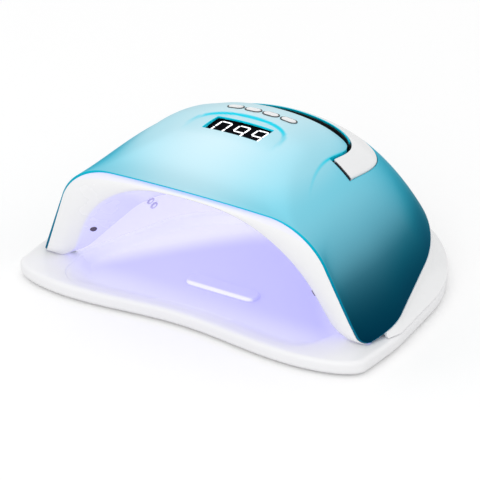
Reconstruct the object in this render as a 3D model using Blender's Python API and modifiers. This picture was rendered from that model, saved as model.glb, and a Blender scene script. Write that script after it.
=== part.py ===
"""Two-hand UV LED nail lamp, as separate named solids in metres (+Z up, opening towards -Y).

The lamp stands on a loose tray.  Its moulded skin is a fan of arches: each arch is a straight
leg, a shoulder fillet and a crown arc, and the fan leans from the front mouth to the flat rear.
Cover, housing, bezel, reflector, handle and board parts all take their places from that skin.
"""
import math

import bmesh
import bpy
import numpy as np
from mathutils import Matrix, Vector
from mathutils.bvhtree import BVHTree

# General walls and clearances
GAP = 0.0003
COVER_WALL = 0.0022
HOUSING_WALL = 0.0024
BEZEL_WALL = 0.0022
REFLECTOR_WALL = 0.0016
RUN_GAP = 0.0008
SEAT_GAP = 0.0007
CUT_REACH = 0.0200

# Lamp skin: the arches' foot line, lean, reach and section, from the mouth to the rear
LAMP_BASE_Z = 0.0100
BODY_HALF = 0.1182
FRONT_TAPER = 0.0106
FRONT_HALF = BODY_HALF - FRONT_TAPER
FRONT_Y = -0.0730
POLE_Y = -0.0480
POLE_AT = 0.70
SKIN_LEAN = (-7.2, -3.4, 58.8, 90.0)
SKIN_REACH = (0.0714, 0.0916, 0.1120, 0.1470)
SKIN_LEG = (67.0, 48.4, 58.0, 86.0)
SKIN_FILLET = (0.0392, 0.0665, 0.0862, 0.1100)
SKIN_CROWN = (1.4000, 0.1140, 0.1010, 0.1160)
LEG_LEAST = 0.0020
CROWN_LEAST = 0.0020
HALF_EASE = 1.6
FOOT_EASE = 1.4

# Parting line between the coloured cover and the white housing
PARTING_Y = -0.0700
PARTING_RISE = 0.0009
PARTING_SLOPE = 0.187
CORNER_ROUND = 0.0080
HOUSING_FRONT_Y = -0.0580
HOUSING_WAIST = 0.0026
WAIST_BAND = 0.0200
HOUSING_HUB_Y = -0.0060

# Bezel: mouth edge and throat edge
MOUTH_Y = -0.0694
MOUTH_LEAN = -12.0
MOUTH_HALF = 0.0901
MOUTH_REACH = 0.0687
MOUTH_LEG = 65.3
MOUTH_FILLET = 0.0744
MOUTH_CROWN = 0.2170
THROAT_Y = -0.0640
THROAT_LEAN = 5.0
THROAT_STEP = 0.0015
THROAT_DROP = 0.0107
THROAT_HALF = MOUTH_HALF - THROAT_STEP
THROAT_REACH = MOUTH_REACH - THROAT_DROP
THROAT_LEG = 46.0
THROAT_FILLET = 0.0700
THROAT_CROWN = 0.1200
BEZEL_SWELL = 0.0016
LIP_SHOW = 0.0007
LIP_THICK = 0.0012
LIP_GAP = 0.0007
HEEL_REACH = 0.0020

# Reflector dome behind the bezel
REFLECTOR_Y = -0.0615
REFLECTOR_LAP = 0.0020
REFLECTOR_HALF = THROAT_HALF + REFLECTOR_LAP
REFLECTOR_LEAN = (5.0, 32.0, 60.0, 90.0)
REFLECTOR_RISE = (0.0030, 0.0200, 0.0320, 0.0480)
REFLECTOR_LEG = (54.0, 56.0, 62.0, 72.0)
REFLECTOR_FILLET = (0.0700, 0.0680, 0.0600, 0.0520)
REFLECTOR_CROWN = (0.0950, 0.0950, 0.0920, 0.0820)

# LED strips and beads
STRIP_THICK = 0.0008
STRIP_GAP = 0.0009
STRIP_WIDE = 0.10
STRIP_RUN = (0.10, 0.82)
BEAD_RADIUS = 0.0026
BEAD_PROUD = 0.0016
BEAD_FRONT_AT = 0.16
BEAD_REAR_AT = 0.76
BEADS_PER_STRIP = 7
STRIPS = {"left": -0.62, "right": 0.62, "crown": 0.0}

# Handle: a strap with two arms that swings up from a well behind the buttons
HANDLE_THICK = 0.0040
REAR_DRAFT_FROM = 0.0150
ARM_FRONT_Y = -0.0160
ARM_INSIDE = 0.0545
ARM_OUTSIDE = 0.0660
STRAP_FRONT_Y = 0.0285
STRAP_REAR_Y = 0.0500
STRAP_BEND = 3.0
SLOT_FRONT_Y = 0.0140
SLOT_BEND = 6.0
ARM_SWING_ROOM = 0.0025
TRIM_TALL = 0.0032
TRIM_THICK = 0.0008
TRIM_HALF_ANGLE = 56.0
HINGE_Y = -0.0100
HINGE_DROP = 0.0052
PIN_RADIUS = 0.0016
PIN_HEAD_RADIUS = 0.0030
PIN_HEAD_THICK = 0.0012
LUG_RADIUS = 0.0032
LUG_LENGTH = 0.0030
LUG_BORE = 0.0024
WELL_DEEP = 0.0140
WELL_WALL = 0.0014
WELL_LEDGE = 0.0020
WELL_RIM_REACH = 0.0025

# Display, keys and control board
WINDOW_Y = -0.0315
WINDOW_LONG = 0.0370
WINDOW_WIDE = 0.0170
LENS_LEDGE = 0.0015
LENS_THICK = 0.0014
DISPLAY_TALL = 0.0064
KEY_Y = -0.0030
KEY_PITCH = 0.0118
KEY_LONG = 0.0102
KEY_WIDE = 0.0064
KEY_PROUD = 0.0006
KEY_SIDE_GAP = 0.0004
KEY_FLANGE = 0.0006
KEY_FLANGE_THICK = 0.0012
KEY_STEM_LONG = 0.0036
KEY_STEM_WIDE = 0.0032
KEY_ROUND = 0.0006
KEY_PRESS = 0.0008
SWITCH_SIDE = 0.0060
SWITCH_TALL = 0.0036
BOARD_THICK = 0.0016
BOARD_HALF_X = 0.0330
BOARD_FRONT_Y = -0.0460
BOARD_REAR_Y = 0.0060
POST_RADIUS = 0.0026
POST_X = 0.0285
POST_FRONT_Y = -0.0425
POST_REAR_Y = 0.0020

# Base ring of the lamp with its screws and magnets
RING_THICK = 0.0020
SCREW_HEAD_RADIUS = 0.0028
SCREW_SHANK_RADIUS = 0.0012
SCREW_HEAD_TALL = 0.0014
SCREW_LONG = 0.0050
BOSS_RADIUS = 0.0032
BOSS_TALL = 0.0035
MAGNET_RADIUS = 0.0040
MAGNET_THICK = 0.0014
RING_GAP = 0.0006
BOSS_EDGE = 0.0004
SCREW_SHARES = (0.14, 0.50, 0.86)
MAGNET_SHARES = (0.30, 0.70)

# Tray
TRAY_BOTTOM_Z = 0.0012
TRAY_TOP_Z = 0.0097
TRAY_FLOOR_Z = 0.0036
TRAY_FRONT_Y = -0.0990
TRAY_SCOOP = 0.0060
TRAY_TAPER = 0.0022
TRAY_CORNER_WIDE = 0.0445
TRAY_SIDE_X = BODY_HALF - TRAY_TAPER
TRAY_CORNER_X = TRAY_SIDE_X - TRAY_CORNER_WIDE
TRAY_CORNER_Y = -0.0820
TRAY_RIM = 0.0050
TRAY_SLOPE_FRONT = 0.0190
TRAY_SLOPE_SIDE = 0.0040
TRAY_REST_STEP = 0.0290
TRAY_ARM_REST_X = TRAY_SIDE_X - TRAY_REST_STEP
TRAY_REST_CORNER = 0.0200
TRAY_SLOPE_FROM_Y = -0.0510
TRAY_SLOPE_FULL_Y = -0.0860
TRAY_LOW_ROUND = 0.0030
TRAY_TOP_ROUND = 0.0026
TRAY_REAR_INSET = 0.0020
BAR_Y = -0.0460
BAR_LONG = 0.0480
BAR_WIDE = 0.0120
BAR_TALL = 0.0022
BAR_ROUND = 0.0012
FOOT_RADIUS = 0.0065
FOOT_RECESS = 0.0010
FOOT_ROUND = 0.0005
FOOT_FRONT = (TRAY_ARM_REST_X, -0.0850)
FOOT_REAR = (0.0700, 0.0520)

# DC inlet and sensors
JACK_X = 0.0320
JACK_Z = 0.0240
JACK_RADIUS = 0.0048
JACK_LONG = 0.0130
JACK_FLANGE_RADIUS = 0.0066
JACK_FLANGE_THICK = 0.0012
JACK_BORE_RADIUS = 0.0030
JACK_BORE_DEEP = 0.0085
JACK_PIN_RADIUS = 0.0010
JACK_PIN_BACK = 0.0015
SENSOR_RADIUS = 0.0022
SENSOR_LONG = 0.0060
SENSOR_AT = 0.24
SENSOR_SPAN = 0.05
SENSOR_DOME = 0.0005

# Mesh fineness
SKIN_ROWS = 21
SKIN_COUNTS = (2, 7, 6)
EDGE_COUNTS = (16, 14, 14)
BEZEL_STATIONS = 51
BEZEL_EASE = 0.6
CORNER_STEPS = 5
HOUSING_COLUMNS = 36
HOUSING_STEPS = 4
PARTING_PASSES = 4
RING_POINTS = 14
TRAY_FRONT_POINTS = 9
TRAY_CORNER_POINTS = 6
TRAY_SIDE_POINTS = 2
ROUND_STEPS = 2
REFLECTOR_ROWS = 11
REFLECTOR_COUNTS = (2, 5, 4)
RIBBON_STEPS = 26
STRIP_STEPS = 8
BORE_SIDES = 8
ROUND_SIDES = 12
FOOT_SIDES = 14
JACK_SIDES = 16
FACING_STEP = 0.01
TREE_ROWS = 61
TREE_COUNTS = (10, 18, 18)
DOME_COUNTS = (10, 16, 16)
FOOT_COUNTS = (6, 10, 10)
SHARP_ANGLE = math.radians(35.0)

PART_NAME = "uv_led_nail_lamp"
PALETTE = {
    "teal_plate": ((0.130, 0.520, 0.640), 0.18, 0.55),
    "white_gloss": ((0.860, 0.870, 0.890), 0.22, 0.0),
    "tray_white": ((0.880, 0.880, 0.900), 0.28, 0.0),
    "reflector_white": ((0.800, 0.780, 0.920), 0.20, 0.0),
    "bead_violet": ((0.560, 0.420, 0.980), 0.12, 0.0),
    "well_black": ((0.015, 0.016, 0.018), 0.45, 0.0),
    "lens_black": ((0.010, 0.010, 0.012), 0.08, 0.0),
    "digit_grey": ((0.300, 0.310, 0.320), 0.35, 0.0),
    "board_green": ((0.020, 0.150, 0.070), 0.50, 0.0),
    "steel": ((0.600, 0.610, 0.620), 0.30, 1.0),
    "rubber_grey": ((0.060, 0.060, 0.065), 0.85, 0.0),
    "sensor_dark": ((0.030, 0.012, 0.040), 0.10, 0.0),
}


def clear_scene():
    """Empty the file and make the two collections that the part uses."""
    for item in list(bpy.data.objects):
        bpy.data.objects.remove(item, do_unlink=True)
    parts = bpy.data.collections.new(PART_NAME)
    cutters = bpy.data.collections.new("cutters")
    bpy.context.scene.collection.children.link(parts)
    bpy.context.scene.collection.children.link(cutters)
    return parts, cutters


PARTS, CUTTERS = clear_scene()


def material(key):
    """Principled material of one finish, made once."""
    found = bpy.data.materials.get(key)
    if found:
        return found
    colour, rough, metal = PALETTE[key]
    made = bpy.data.materials.new(key)
    made.use_nodes = True
    shader = made.node_tree.nodes["Principled BSDF"]
    shader.inputs["Base Color"].default_value = (*colour, 1.0)
    shader.inputs["Roughness"].default_value = rough
    shader.inputs["Metallic"].default_value = metal
    return made


def link_object(name, shape, finish, cutter=False, place=None):
    """Object from a bmesh, shaded smooth, in the collection that it belongs to."""
    mesh = bpy.data.meshes.new(name)
    shape.to_mesh(mesh)
    shape.free()
    mesh.shade_smooth()
    mesh.set_sharp_from_angle(angle=SHARP_ANGLE)
    made = bpy.data.objects.new(name, mesh)
    if place is not None:
        made.matrix_world = place
    if cutter:
        CUTTERS.objects.link(made)
        made.hide_render = True
        made.display_type = "WIRE"
    else:
        PARTS.objects.link(made)
        mesh.materials.append(material(finish))
    return made


def add_object(name, verts, faces, finish=None, cutter=False):
    """Closed mesh object from points and faces, with outward normals."""
    mesh = bpy.data.meshes.new(name)
    mesh.from_pydata([tuple(v) for v in verts], [], [tuple(f) for f in faces])
    shape = bmesh.new()
    shape.from_mesh(mesh)
    bpy.data.meshes.remove(mesh)
    bmesh.ops.remove_doubles(shape, verts=shape.verts, dist=1e-6)
    bmesh.ops.recalc_face_normals(shape, faces=shape.faces)
    return link_object(name, shape, finish, cutter)


def solidify(item, thick, offset):
    """Give an open surface its wall."""
    wall = item.modifiers.new("wall", "SOLIDIFY")
    wall.thickness = thick
    wall.offset = offset
    wall.use_even_offset = True


def cut(item, tool, operation="DIFFERENCE"):
    """Exact Boolean of a part with a cutter."""
    step = item.modifiers.new(tool.name, "BOOLEAN")
    step.operation = operation
    step.solver = "EXACT"
    step.object = tool


def grid_faces(rows, cols):
    """Quads of a rows by cols grid of points."""
    faces = []
    for r in range(rows - 1):
        for c in range(cols - 1):
            a = r * cols + c
            faces.append((a, a + cols, a + cols + 1, a + 1))
    return faces


def add_sheet(name, grid, finish):
    """Open sheet from a grid of points; its faces keep the grid's own winding."""
    grid = np.asarray(grid)
    rows, cols = grid.shape[:2]
    mesh = bpy.data.meshes.new(name)
    mesh.from_pydata([tuple(p) for p in grid.reshape(-1, 3)], [], grid_faces(rows, cols))
    shape = bmesh.new()
    shape.from_mesh(mesh)
    bpy.data.meshes.remove(mesh)
    bmesh.ops.remove_doubles(shape, verts=shape.verts, dist=1e-6)
    bmesh.ops.dissolve_degenerate(shape, edges=shape.edges, dist=1e-7)
    return link_object(name, shape, finish)


def add_rings(name, rings, finish=None, cutter=False, place=None):
    """Closed solid through a stack of equal rings, capped at both ends."""
    rings = [np.asarray(ring) for ring in rings]
    count = len(rings[0])
    verts = [Vector(p) for ring in rings for p in ring]
    if place is not None:
        verts = [place @ p for p in verts]
    faces = []
    for level in range(len(rings) - 1):
        for i in range(count):
            j = (i + 1) % count
            a = level * count
            faces.append((a + i, a + j, a + count + j, a + count + i))
    faces.append(tuple(range(count))[::-1])
    top = (len(rings) - 1) * count
    faces.append(tuple(range(top, top + count)))
    return add_object(name, verts, faces, finish, cutter)


def move_origin(item, point):
    """Put a moving piece's origin on its joint."""
    item.data.transform(Matrix.Translation(-Vector(point)))
    item.location = point


def add_cylinder(name, radius, low, high, place, sides, finish=None, cutter=False):
    """Cylinder primitive along the local Z axis of a place."""
    shape = bmesh.new()
    turn = Matrix.Rotation(0.5 * math.pi / sides, 4, "Z")
    middle = Matrix.Translation((0.0, 0.0, (low + high) / 2.0))
    bmesh.ops.create_cone(shape, cap_ends=True, segments=sides, radius1=radius, radius2=radius,
                          depth=high - low, matrix=middle @ turn)
    return link_object(name, shape, finish, cutter, place)


def add_turned(name, profile, place, sides, finish=None, cutter=False):
    """Turned solid: a profile of (radius, height) run down its outer side, with a Screw modifier."""
    shape = bmesh.new()
    points = [shape.verts.new((radius, 0.0, z)) for radius, z in profile]
    for a, b in zip(points, points[1:]):
        shape.edges.new((a, b))
    made = link_object(name, shape, finish, cutter, place)
    turn = made.modifiers.new("turn", "SCREW")
    turn.steps = sides
    turn.render_steps = sides
    turn.use_merge_vertices = True
    turn.merge_threshold = 1e-6
    return made


def stadium(length, width, z, steps=7):
    """Ring with straight sides along X and round ends."""
    radius = width / 2.0
    run = length / 2.0 - radius
    ring = []
    for centre, start in ((run, -0.5), (-run, 0.5)):
        for i in range(steps):
            a = math.pi * (start + i / (steps - 1))
            ring.append((centre + radius * math.cos(a), radius * math.sin(a), z))
    return ring


def add_box(name, low, high, finish=None, cutter=False, place=None):
    """Cube primitive between two corners, upright or in a given frame."""
    low, high = Vector(low), Vector(high)
    shape = bmesh.new()
    size = Matrix.Diagonal((*(high - low), 1.0))
    bmesh.ops.create_cube(shape, size=1.0, matrix=Matrix.Translation((low + high) / 2.0) @ size)
    return link_object(name, shape, finish, cutter, place)


def at_plan(x, y):
    """Upright frame over a place in plan."""
    return Matrix.Translation((x, y, 0.0))


def frame_at(point, up):
    """Matrix whose local Z points along up, with local X level."""
    up = Vector(up).normalized()
    across = Vector((1.0, 0.0, 0.0))
    if abs(up.x) > 0.9:
        across = Vector((0.0, 1.0, 0.0))
    side = up.cross(across).normalized()
    across = side.cross(up)
    turn = Matrix((across, side, up)).transposed()
    return Matrix.Translation(point) @ turn.to_4x4()


def bezier(pulls, at):
    """Cubic Bezier value through four pulls."""
    a, b, c, d = pulls
    back = 1.0 - at
    return a * back**3 + 3.0 * b * at * back**2 + 3.0 * c * at**2 * back + d * at**3


def arch(half, reach, leg, fillet, crown, counts):
    """Half section from the foot (half, 0) to the top (0, reach): leg, fillet and crown arc."""
    leg = math.radians(leg)
    least_crown = (half * math.sin(leg) - reach * math.cos(leg)) / (1.0 - math.cos(leg))
    crown = max(crown, least_crown * 1.002)
    fillet = min(fillet, crown * 0.98)
    foot = np.array((half, 0.0))
    centre = np.array((0.0, reach - crown))
    rise = np.array((-math.cos(leg), math.sin(leg)))
    inward = np.array((-math.sin(leg), -math.cos(leg)))
    leg_run = -1.0
    bend = foot
    while leg_run < LEG_LEAST or bend[0] < CROWN_LEAST:
        start = foot + inward * fillet
        away = start - centre
        middle = float(away @ rise)
        rest = float(away @ away) - (crown - fillet) ** 2
        leg_run = math.sqrt(max(middle * middle - rest, 0.0)) - middle
        bend = start + rise * leg_run
        leg_top = bend - inward * fillet
        fillet_used = fillet
        fillet *= 0.96
    fillet = fillet_used
    turn_on = math.atan2(*(bend - centre)[::-1])
    turn_off = math.atan2(-inward[1], -inward[0])
    straight = [foot + (leg_top - foot) * i / counts[0] for i in range(counts[0])]
    angles = [turn_off + (turn_on - turn_off) * i / counts[1] for i in range(counts[1])]
    shoulder = [bend + fillet * np.array((math.cos(a), math.sin(a))) for a in angles]
    angles = [turn_on + (math.pi / 2 - turn_on) * i / counts[2] for i in range(counts[2] + 1)]
    crest = [centre + crown * np.array((math.cos(a), math.sin(a))) for a in angles]
    return np.array(straight + shoulder + crest)


def inset(points, depth):
    """Move a half section inwards (towards the axis and the base) by a depth."""
    points = np.asarray(points)
    along = np.gradient(points, axis=0)
    along /= np.linalg.norm(along, axis=1)[:, None]
    normal = np.stack((-along[:, 1], along[:, 0]), axis=1)
    return points + normal * depth


def stand(section, foot_y, lean, base_z=LAMP_BASE_Z):
    """Stand a half section up in space and mirror it to a whole arch, right foot first."""
    lean = math.radians(lean)
    right = np.stack((
        section[:, 0],
        foot_y + section[:, 1] * math.sin(lean),
        base_z + section[:, 1] * math.cos(lean),
    ), axis=1)
    left = right[::-1][1:] * np.array((-1.0, 1.0, 1.0))
    return np.concatenate((right, left))


def skin_section(at, counts):
    """Half section, foot place and lean of the lamp skin at a share of the fan."""
    left = 1.0 - min(at / POLE_AT, 1.0)
    half = BODY_HALF - (BODY_HALF - FRONT_HALF) * left**HALF_EASE
    foot_y = POLE_Y - (POLE_Y - FRONT_Y) * left**FOOT_EASE
    crown = math.exp(bezier([math.log(r) for r in SKIN_CROWN], at))
    section = arch(half, bezier(SKIN_REACH, at), bezier(SKIN_LEG, at),
                   bezier(SKIN_FILLET, at), crown, counts)
    return section, foot_y, bezier(SKIN_LEAN, at)


def skin_grid(rows, counts):
    """Grid of the whole lamp skin, from the mouth to the rear."""
    return np.array([stand(*skin_section(r / (rows - 1), counts)) for r in range(rows)])


def reflector_section(at, counts):
    """Half section, foot place and lean of the reflector at a share of its fan."""
    section = arch(REFLECTOR_HALF, THROAT_REACH + bezier(REFLECTOR_RISE, at), bezier(REFLECTOR_LEG, at),
                   bezier(REFLECTOR_FILLET, at), bezier(REFLECTOR_CROWN, at), counts)
    return section, REFLECTOR_Y, bezier(REFLECTOR_LEAN, at)


def reflector_grid(rows, counts, low=0.0, high=1.0):
    """Grid of the reflector's inner face between two shares of its fan."""
    shares = [low + (high - low) * r / (rows - 1) for r in range(rows)]
    return np.array([stand(*reflector_section(s, counts), LAMP_BASE_Z + GAP) for s in shares])


def tree_of(grid):
    """Search tree of a grid, for finding places on a surface."""
    rows, cols = grid.shape[:2]
    points = [Vector(p) for p in grid.reshape(-1, 3)]
    return BVHTree.FromPolygons(points, grid_faces(rows, cols))


SKIN = tree_of(skin_grid(TREE_ROWS, TREE_COUNTS))
HIGH = 1.0


def on_skin(x, y):
    """Point and outward normal of the lamp skin above a place in plan."""
    point, normal, _, _ = SKIN.ray_cast(Vector((x, y, HIGH)), Vector((0.0, 0.0, -1.0)))
    if normal.z < 0.0:
        normal.negate()
    return point, normal


def under_cover(x, y, drop=0.0):
    """Height of the cover's inner face above a place in plan, less a drop."""
    point, normal = on_skin(x, y)
    return point.z - COVER_WALL / normal.z - drop


def at_share(points, share):
    """Point at a share of a polyline's length."""
    points = np.asarray(points)
    steps = np.linalg.norm(np.diff(points, axis=0), axis=1)
    run = np.concatenate(((0.0,), np.cumsum(steps)))
    return np.array([np.interp(share * run[-1], run, points[:, k]) for k in range(points.shape[1])])


def respaced(points, count):
    """The same polyline with points at equal steps."""
    return np.array([at_share(points, i / (count - 1)) for i in range(count)])


def bow(half_x, front_y, rear_y, bend, steps=RIBBON_STEPS):
    """Plan line of a U: two arms along Y joined by a strap, as half a superellipse."""
    line = []
    for i in range(steps + 1):
        a = math.pi * i / steps
        x = half_x * math.copysign(abs(math.cos(a)) ** (2.0 / bend), math.cos(a))
        y = front_y + (rear_y - front_y) * math.sin(a) ** (2.0 / bend)
        line.append((x, y))
    return np.array(line)


def parting_height(y, drop):
    """Height of the sloping parting plane at a place along Y, lowered by a drop."""
    return LAMP_BASE_Z + PARTING_RISE - drop + PARTING_SLOPE * (y - PARTING_Y)


def parting_plane(drop):
    """Point and upward normal of the sloping parting plane, lowered by a drop."""
    point = Vector((0.0, PARTING_Y, LAMP_BASE_Z + PARTING_RISE - drop))
    normal = Vector((0.0, -PARTING_SLOPE, 1.0)).normalized()
    return point, normal


def keep_side(item, point, normal):
    """Cut an open sheet by a plane and keep the side that the normal points to."""
    shape = bmesh.new()
    shape.from_mesh(item.data)
    geometry = list(shape.verts) + list(shape.edges) + list(shape.faces)
    bmesh.ops.bisect_plane(shape, geom=geometry, dist=1e-6, plane_co=point, plane_no=normal,
                           clear_inner=True)
    shape.to_mesh(item.data)
    shape.free()


def add_half_space(name, point, normal):
    """Large cutter that fills the side of a plane its normal points to."""
    reach = 2.0 * BODY_HALF
    shape = bmesh.new()
    bmesh.ops.create_cube(shape, size=2.0 * reach, matrix=Matrix.Translation((0.0, 0.0, reach)))
    return link_object(name, shape, None, True, frame_at(point, normal))


def ribbon_prism(name, outside, inside, low, high):
    """Upright cutter between two plan lines."""
    rings = []
    for outer, inner in zip(outside, inside):
        rings.append([(*outer, low), (*inner, low), (*inner, high), (*outer, high)])
    return add_rings(name, rings, cutter=True)


def handle_lines(grow, front_room, slot):
    """Plan lines of the handle, or of the opening round it when grown."""
    front = ARM_FRONT_Y - front_room
    outside = bow(ARM_OUTSIDE + grow, front, STRAP_REAR_Y + grow, STRAP_BEND)
    if slot:
        inside = bow(ARM_INSIDE - grow, front, SLOT_FRONT_Y - slot, SLOT_BEND)
    else:
        inside = bow(ARM_INSIDE - grow, front, STRAP_FRONT_Y - grow, STRAP_BEND)
    return outside, inside


def corner_arc():
    """Arc of (Y, Z) points that rounds the cover's lower front corner, from the parting plane upwards."""
    lean = math.radians(SKIN_LEAN[0])
    up = np.array((math.sin(lean), math.cos(lean)))
    back = np.array((1.0, PARTING_SLOPE)) / math.hypot(1.0, PARTING_SLOPE)
    run = (parting_height(FRONT_Y, 0.0) - LAMP_BASE_Z) / (up[1] - PARTING_SLOPE * up[0])
    tip = np.array((FRONT_Y, LAMP_BASE_Z)) + up * run
    half = math.acos(float(up @ back)) / 2.0
    centre = tip + (up + back) / np.linalg.norm(up + back) * CORNER_ROUND / math.sin(half)
    low = math.atan2(-back[0], back[1])
    sweep = 2.0 * half - math.pi
    turns = [low + sweep * i / CORNER_STEPS for i in range(CORNER_STEPS + 1)]
    return [centre + CORNER_ROUND * np.array((math.cos(a), math.sin(a))) for a in turns]


def front_edge():
    """Points of the cover's front edge on the skin, rounded back at its two lower corners."""
    arc = corner_arc()
    inward = Vector((-1.0, 0.0, 0.0))
    foot = [SKIN.ray_cast(Vector((HIGH, y, z)), inward)[0] for y, z in arc[:-1]]
    whole = stand(*skin_section(0.0, EDGE_COUNTS))
    right = np.array(foot + [p for p in whole[:sum(EDGE_COUNTS) + 1] if p[2] > arc[-1][1]])
    return stationed(np.concatenate((right, right[::-1][1:] * np.array((-1.0, 1.0, 1.0)))))


def stationed(line):
    """The same line with the bezel's stations, closer together towards its two feet."""
    even = np.linspace(0.0, 1.0, BEZEL_STATIONS)
    turn = 2.0 * math.pi
    return np.array([at_share(line, s) for s in even - BEZEL_EASE * np.sin(turn * even) / turn])


def add_corner_cutter():
    """Cutter that rounds off both lower front corners of the cover."""
    arc = corner_arc()
    ahead, below = 2.0 * FRONT_Y, LAMP_BASE_Z - GAP
    outline = [(arc[0][0], below)] + [tuple(p) for p in arc] + [(ahead, arc[-1][1]), (ahead, below)]
    rings = [[(x, y, z) for y, z in outline] for x in (-2.0 * BODY_HALF, 2.0 * BODY_HALF)]
    return add_rings("corner_cutter", rings, cutter=True)


def build_cover():
    """Coloured top cover: the skin above the parting plane, with window, key holes and slot."""
    cover = add_sheet("top_cover", skin_grid(SKIN_ROWS, SKIN_COUNTS), "teal_plate")
    point, normal = parting_plane(0.0)
    keep_side(cover, point - normal * 2.0 * COVER_WALL, normal)
    solidify(cover, COVER_WALL, -1.0)
    cut(cover, add_half_space("below_parting", point, -normal))
    cut(cover, add_corner_cutter())
    add_board_posts(cover)
    high = on_skin(0.0, WINDOW_Y)[0].z
    low = high - CUT_REACH
    window = add_box("window_cutter", (-WINDOW_LONG / 2, WINDOW_Y - WINDOW_WIDE / 2, low),
                     (WINDOW_LONG / 2, WINDOW_Y + WINDOW_WIDE / 2, high + CUT_REACH), cutter=True)
    cut(cover, window)
    for number, place in enumerate(key_places(), start=1):
        rings = [stadium(KEY_LONG, KEY_WIDE, z) for z in (-CUT_REACH / 2, CUT_REACH / 2)]
        tool = add_rings(f"key_cutter_{number}", rings, cutter=True, place=place)
        cut(cover, tool)
    outside, inside = handle_lines(RUN_GAP, ARM_SWING_ROOM, RUN_GAP)
    cut(cover, ribbon_prism("slot_cutter", outside, inside, LAMP_BASE_Z, high + CUT_REACH))
    return cover


def housing_column(turn):
    """Outer points of the housing from base to parting line, on one ray from the hub."""
    ray = Vector((math.cos(turn), math.sin(turn), 0.0))
    hub = Vector((0.0, HOUSING_HUB_Y, 0.0))
    low = LAMP_BASE_Z + GAP
    high = low + BOSS_TALL
    for _ in range(PARTING_PASSES):
        hit, _, _, _ = SKIN.ray_cast(hub + ray * HIGH + Vector((0.0, 0.0, high)), -ray)
        high = parting_height(hit.y, GAP)
    column = []
    for step in range(HOUSING_STEPS + 1):
        share = step / HOUSING_STEPS
        z = low + (high - low) * share
        hit, _, _, _ = SKIN.ray_cast(hub + ray * HIGH + Vector((0.0, 0.0, z)), -ray)
        waist = HOUSING_WAIST * math.sin(math.pi * share) * min(1.0, (high - low) / WAIST_BAND)
        column.append(hit - ray * waist)
    return column


def housing_walls():
    """Outer and inner points of the housing's wall, column by column from right to left."""
    side = math.atan2(HOUSING_FRONT_Y - HOUSING_HUB_Y, BODY_HALF)
    turns = [side + (math.pi - 2.0 * side) * i / HOUSING_COLUMNS for i in range(HOUSING_COLUMNS + 1)]
    outer = np.array([housing_column(turn) for turn in turns])
    along = np.gradient(outer, axis=0)
    inward = np.stack((-along[..., 1], along[..., 0], 0.0 * along[..., 0]), axis=-1)
    inward /= np.linalg.norm(inward, axis=-1)[..., None]
    inner = outer + inward * HOUSING_WALL
    inner[:, -1, 2] = parting_height(inner[:, -1, 1], GAP)
    return outer, inner


def build_housing():
    """White rear housing: the skin below the parting plane, waisted, with screw bosses."""
    outer, inner = housing_walls()
    rings = [list(column) + list(back[::-1]) for column, back in zip(outer, inner)]
    housing = add_rings("rear_housing", rings, "white_gloss")
    wall = tree_of(inner)
    low = LAMP_BASE_Z + RING_THICK + GAP
    for number, (x, y) in enumerate(ring_places(SCREW_SHARES), start=1):
        ray = Vector((x, y - HOUSING_HUB_Y, 0.0)).normalized()
        start = Vector((x, y, low + BOSS_TALL / 2.0))
        reach = wall.ray_cast(start, ray)[3] + HOUSING_WALL / 2.0
        length = reach + BOSS_RADIUS
        place = Matrix.Translation((x, y, 0.0)) @ ray.to_track_quat("X", "Z").to_matrix().to_4x4()
        place = place @ Matrix.Translation((length / 2.0 - BOSS_RADIUS, 0.0, 0.0))
        rings = [stadium(length, 2.0 * BOSS_RADIUS, z, 5) for z in (low, low + BOSS_TALL)]
        cut(housing, add_rings(f"boss_{number}", rings, cutter=True, place=place), "UNION")
    for number, (x, y) in enumerate(ring_places(SCREW_SHARES), start=1):
        cut(housing, add_cylinder(f"boss_bore_{number}", SCREW_SHANK_RADIUS + GAP, LAMP_BASE_Z,
                                  low + 2.0 * BOSS_TALL, at_plan(x, y), BORE_SIDES, cutter=True))
    return housing


def bell_lines():
    """Arches of the bezel's mouth edge and of its throat's rear edge."""
    mouth = arch(MOUTH_HALF, MOUTH_REACH, MOUTH_LEG, MOUTH_FILLET, MOUTH_CROWN, EDGE_COUNTS)
    throat = arch(THROAT_HALF, THROAT_REACH, THROAT_LEG, THROAT_FILLET, THROAT_CROWN, EDGE_COUNTS)
    return stand(mouth, MOUTH_Y, MOUTH_LEAN), stand(throat, THROAT_Y, THROAT_LEAN)


def build_bezel():
    """White bell-mouth bezel that laps the cover's front edge and runs in to the throat."""
    edge = front_edge()
    normal = np.array([SKIN.find_nearest(point)[1] for point in edge])
    ahead = np.cross(normal, np.gradient(edge, axis=0))
    ahead /= np.linalg.norm(ahead, axis=1)[:, None]
    mouth, throat = [stationed(line) for line in bell_lines()]
    seat = COVER_WALL + SEAT_GAP + GAP
    lip = edge - normal * LIP_SHOW + ahead * (LIP_GAP + LIP_THICK)
    lip_back = edge - normal * LIP_SHOW + ahead * LIP_GAP
    corner = edge - normal * seat + ahead * LIP_GAP
    heel = edge - normal * seat - ahead * HEEL_REACH
    swell = (lip + mouth) / 2.0 + np.array((0.0, -BEZEL_SWELL, 0.0))
    back = np.cross(throat - mouth, np.gradient(mouth, axis=0))
    back /= np.linalg.norm(back, axis=1)[:, None]
    back *= np.where(back[:, 1:2] < 0.0, -1.0, 1.0) * BEZEL_WALL
    lines = [lip, swell, mouth, throat, throat + back, heel, corner, lip_back]
    rings = np.stack(lines, axis=1)
    rings[..., 2] = np.maximum(rings[..., 2], LAMP_BASE_Z + GAP)
    bezel = add_rings("front_bezel", rings, "white_gloss")
    for side, name in ((1.0, "right"), (-1.0, "left")):
        cut(bezel, add_cylinder(f"sensor_cutter_{name}", SENSOR_RADIUS + GAP, -SENSOR_LONG - GAP, SENSOR_LONG,
                                sensor_place(side), ROUND_SIDES, cutter=True))
    return bezel


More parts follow.
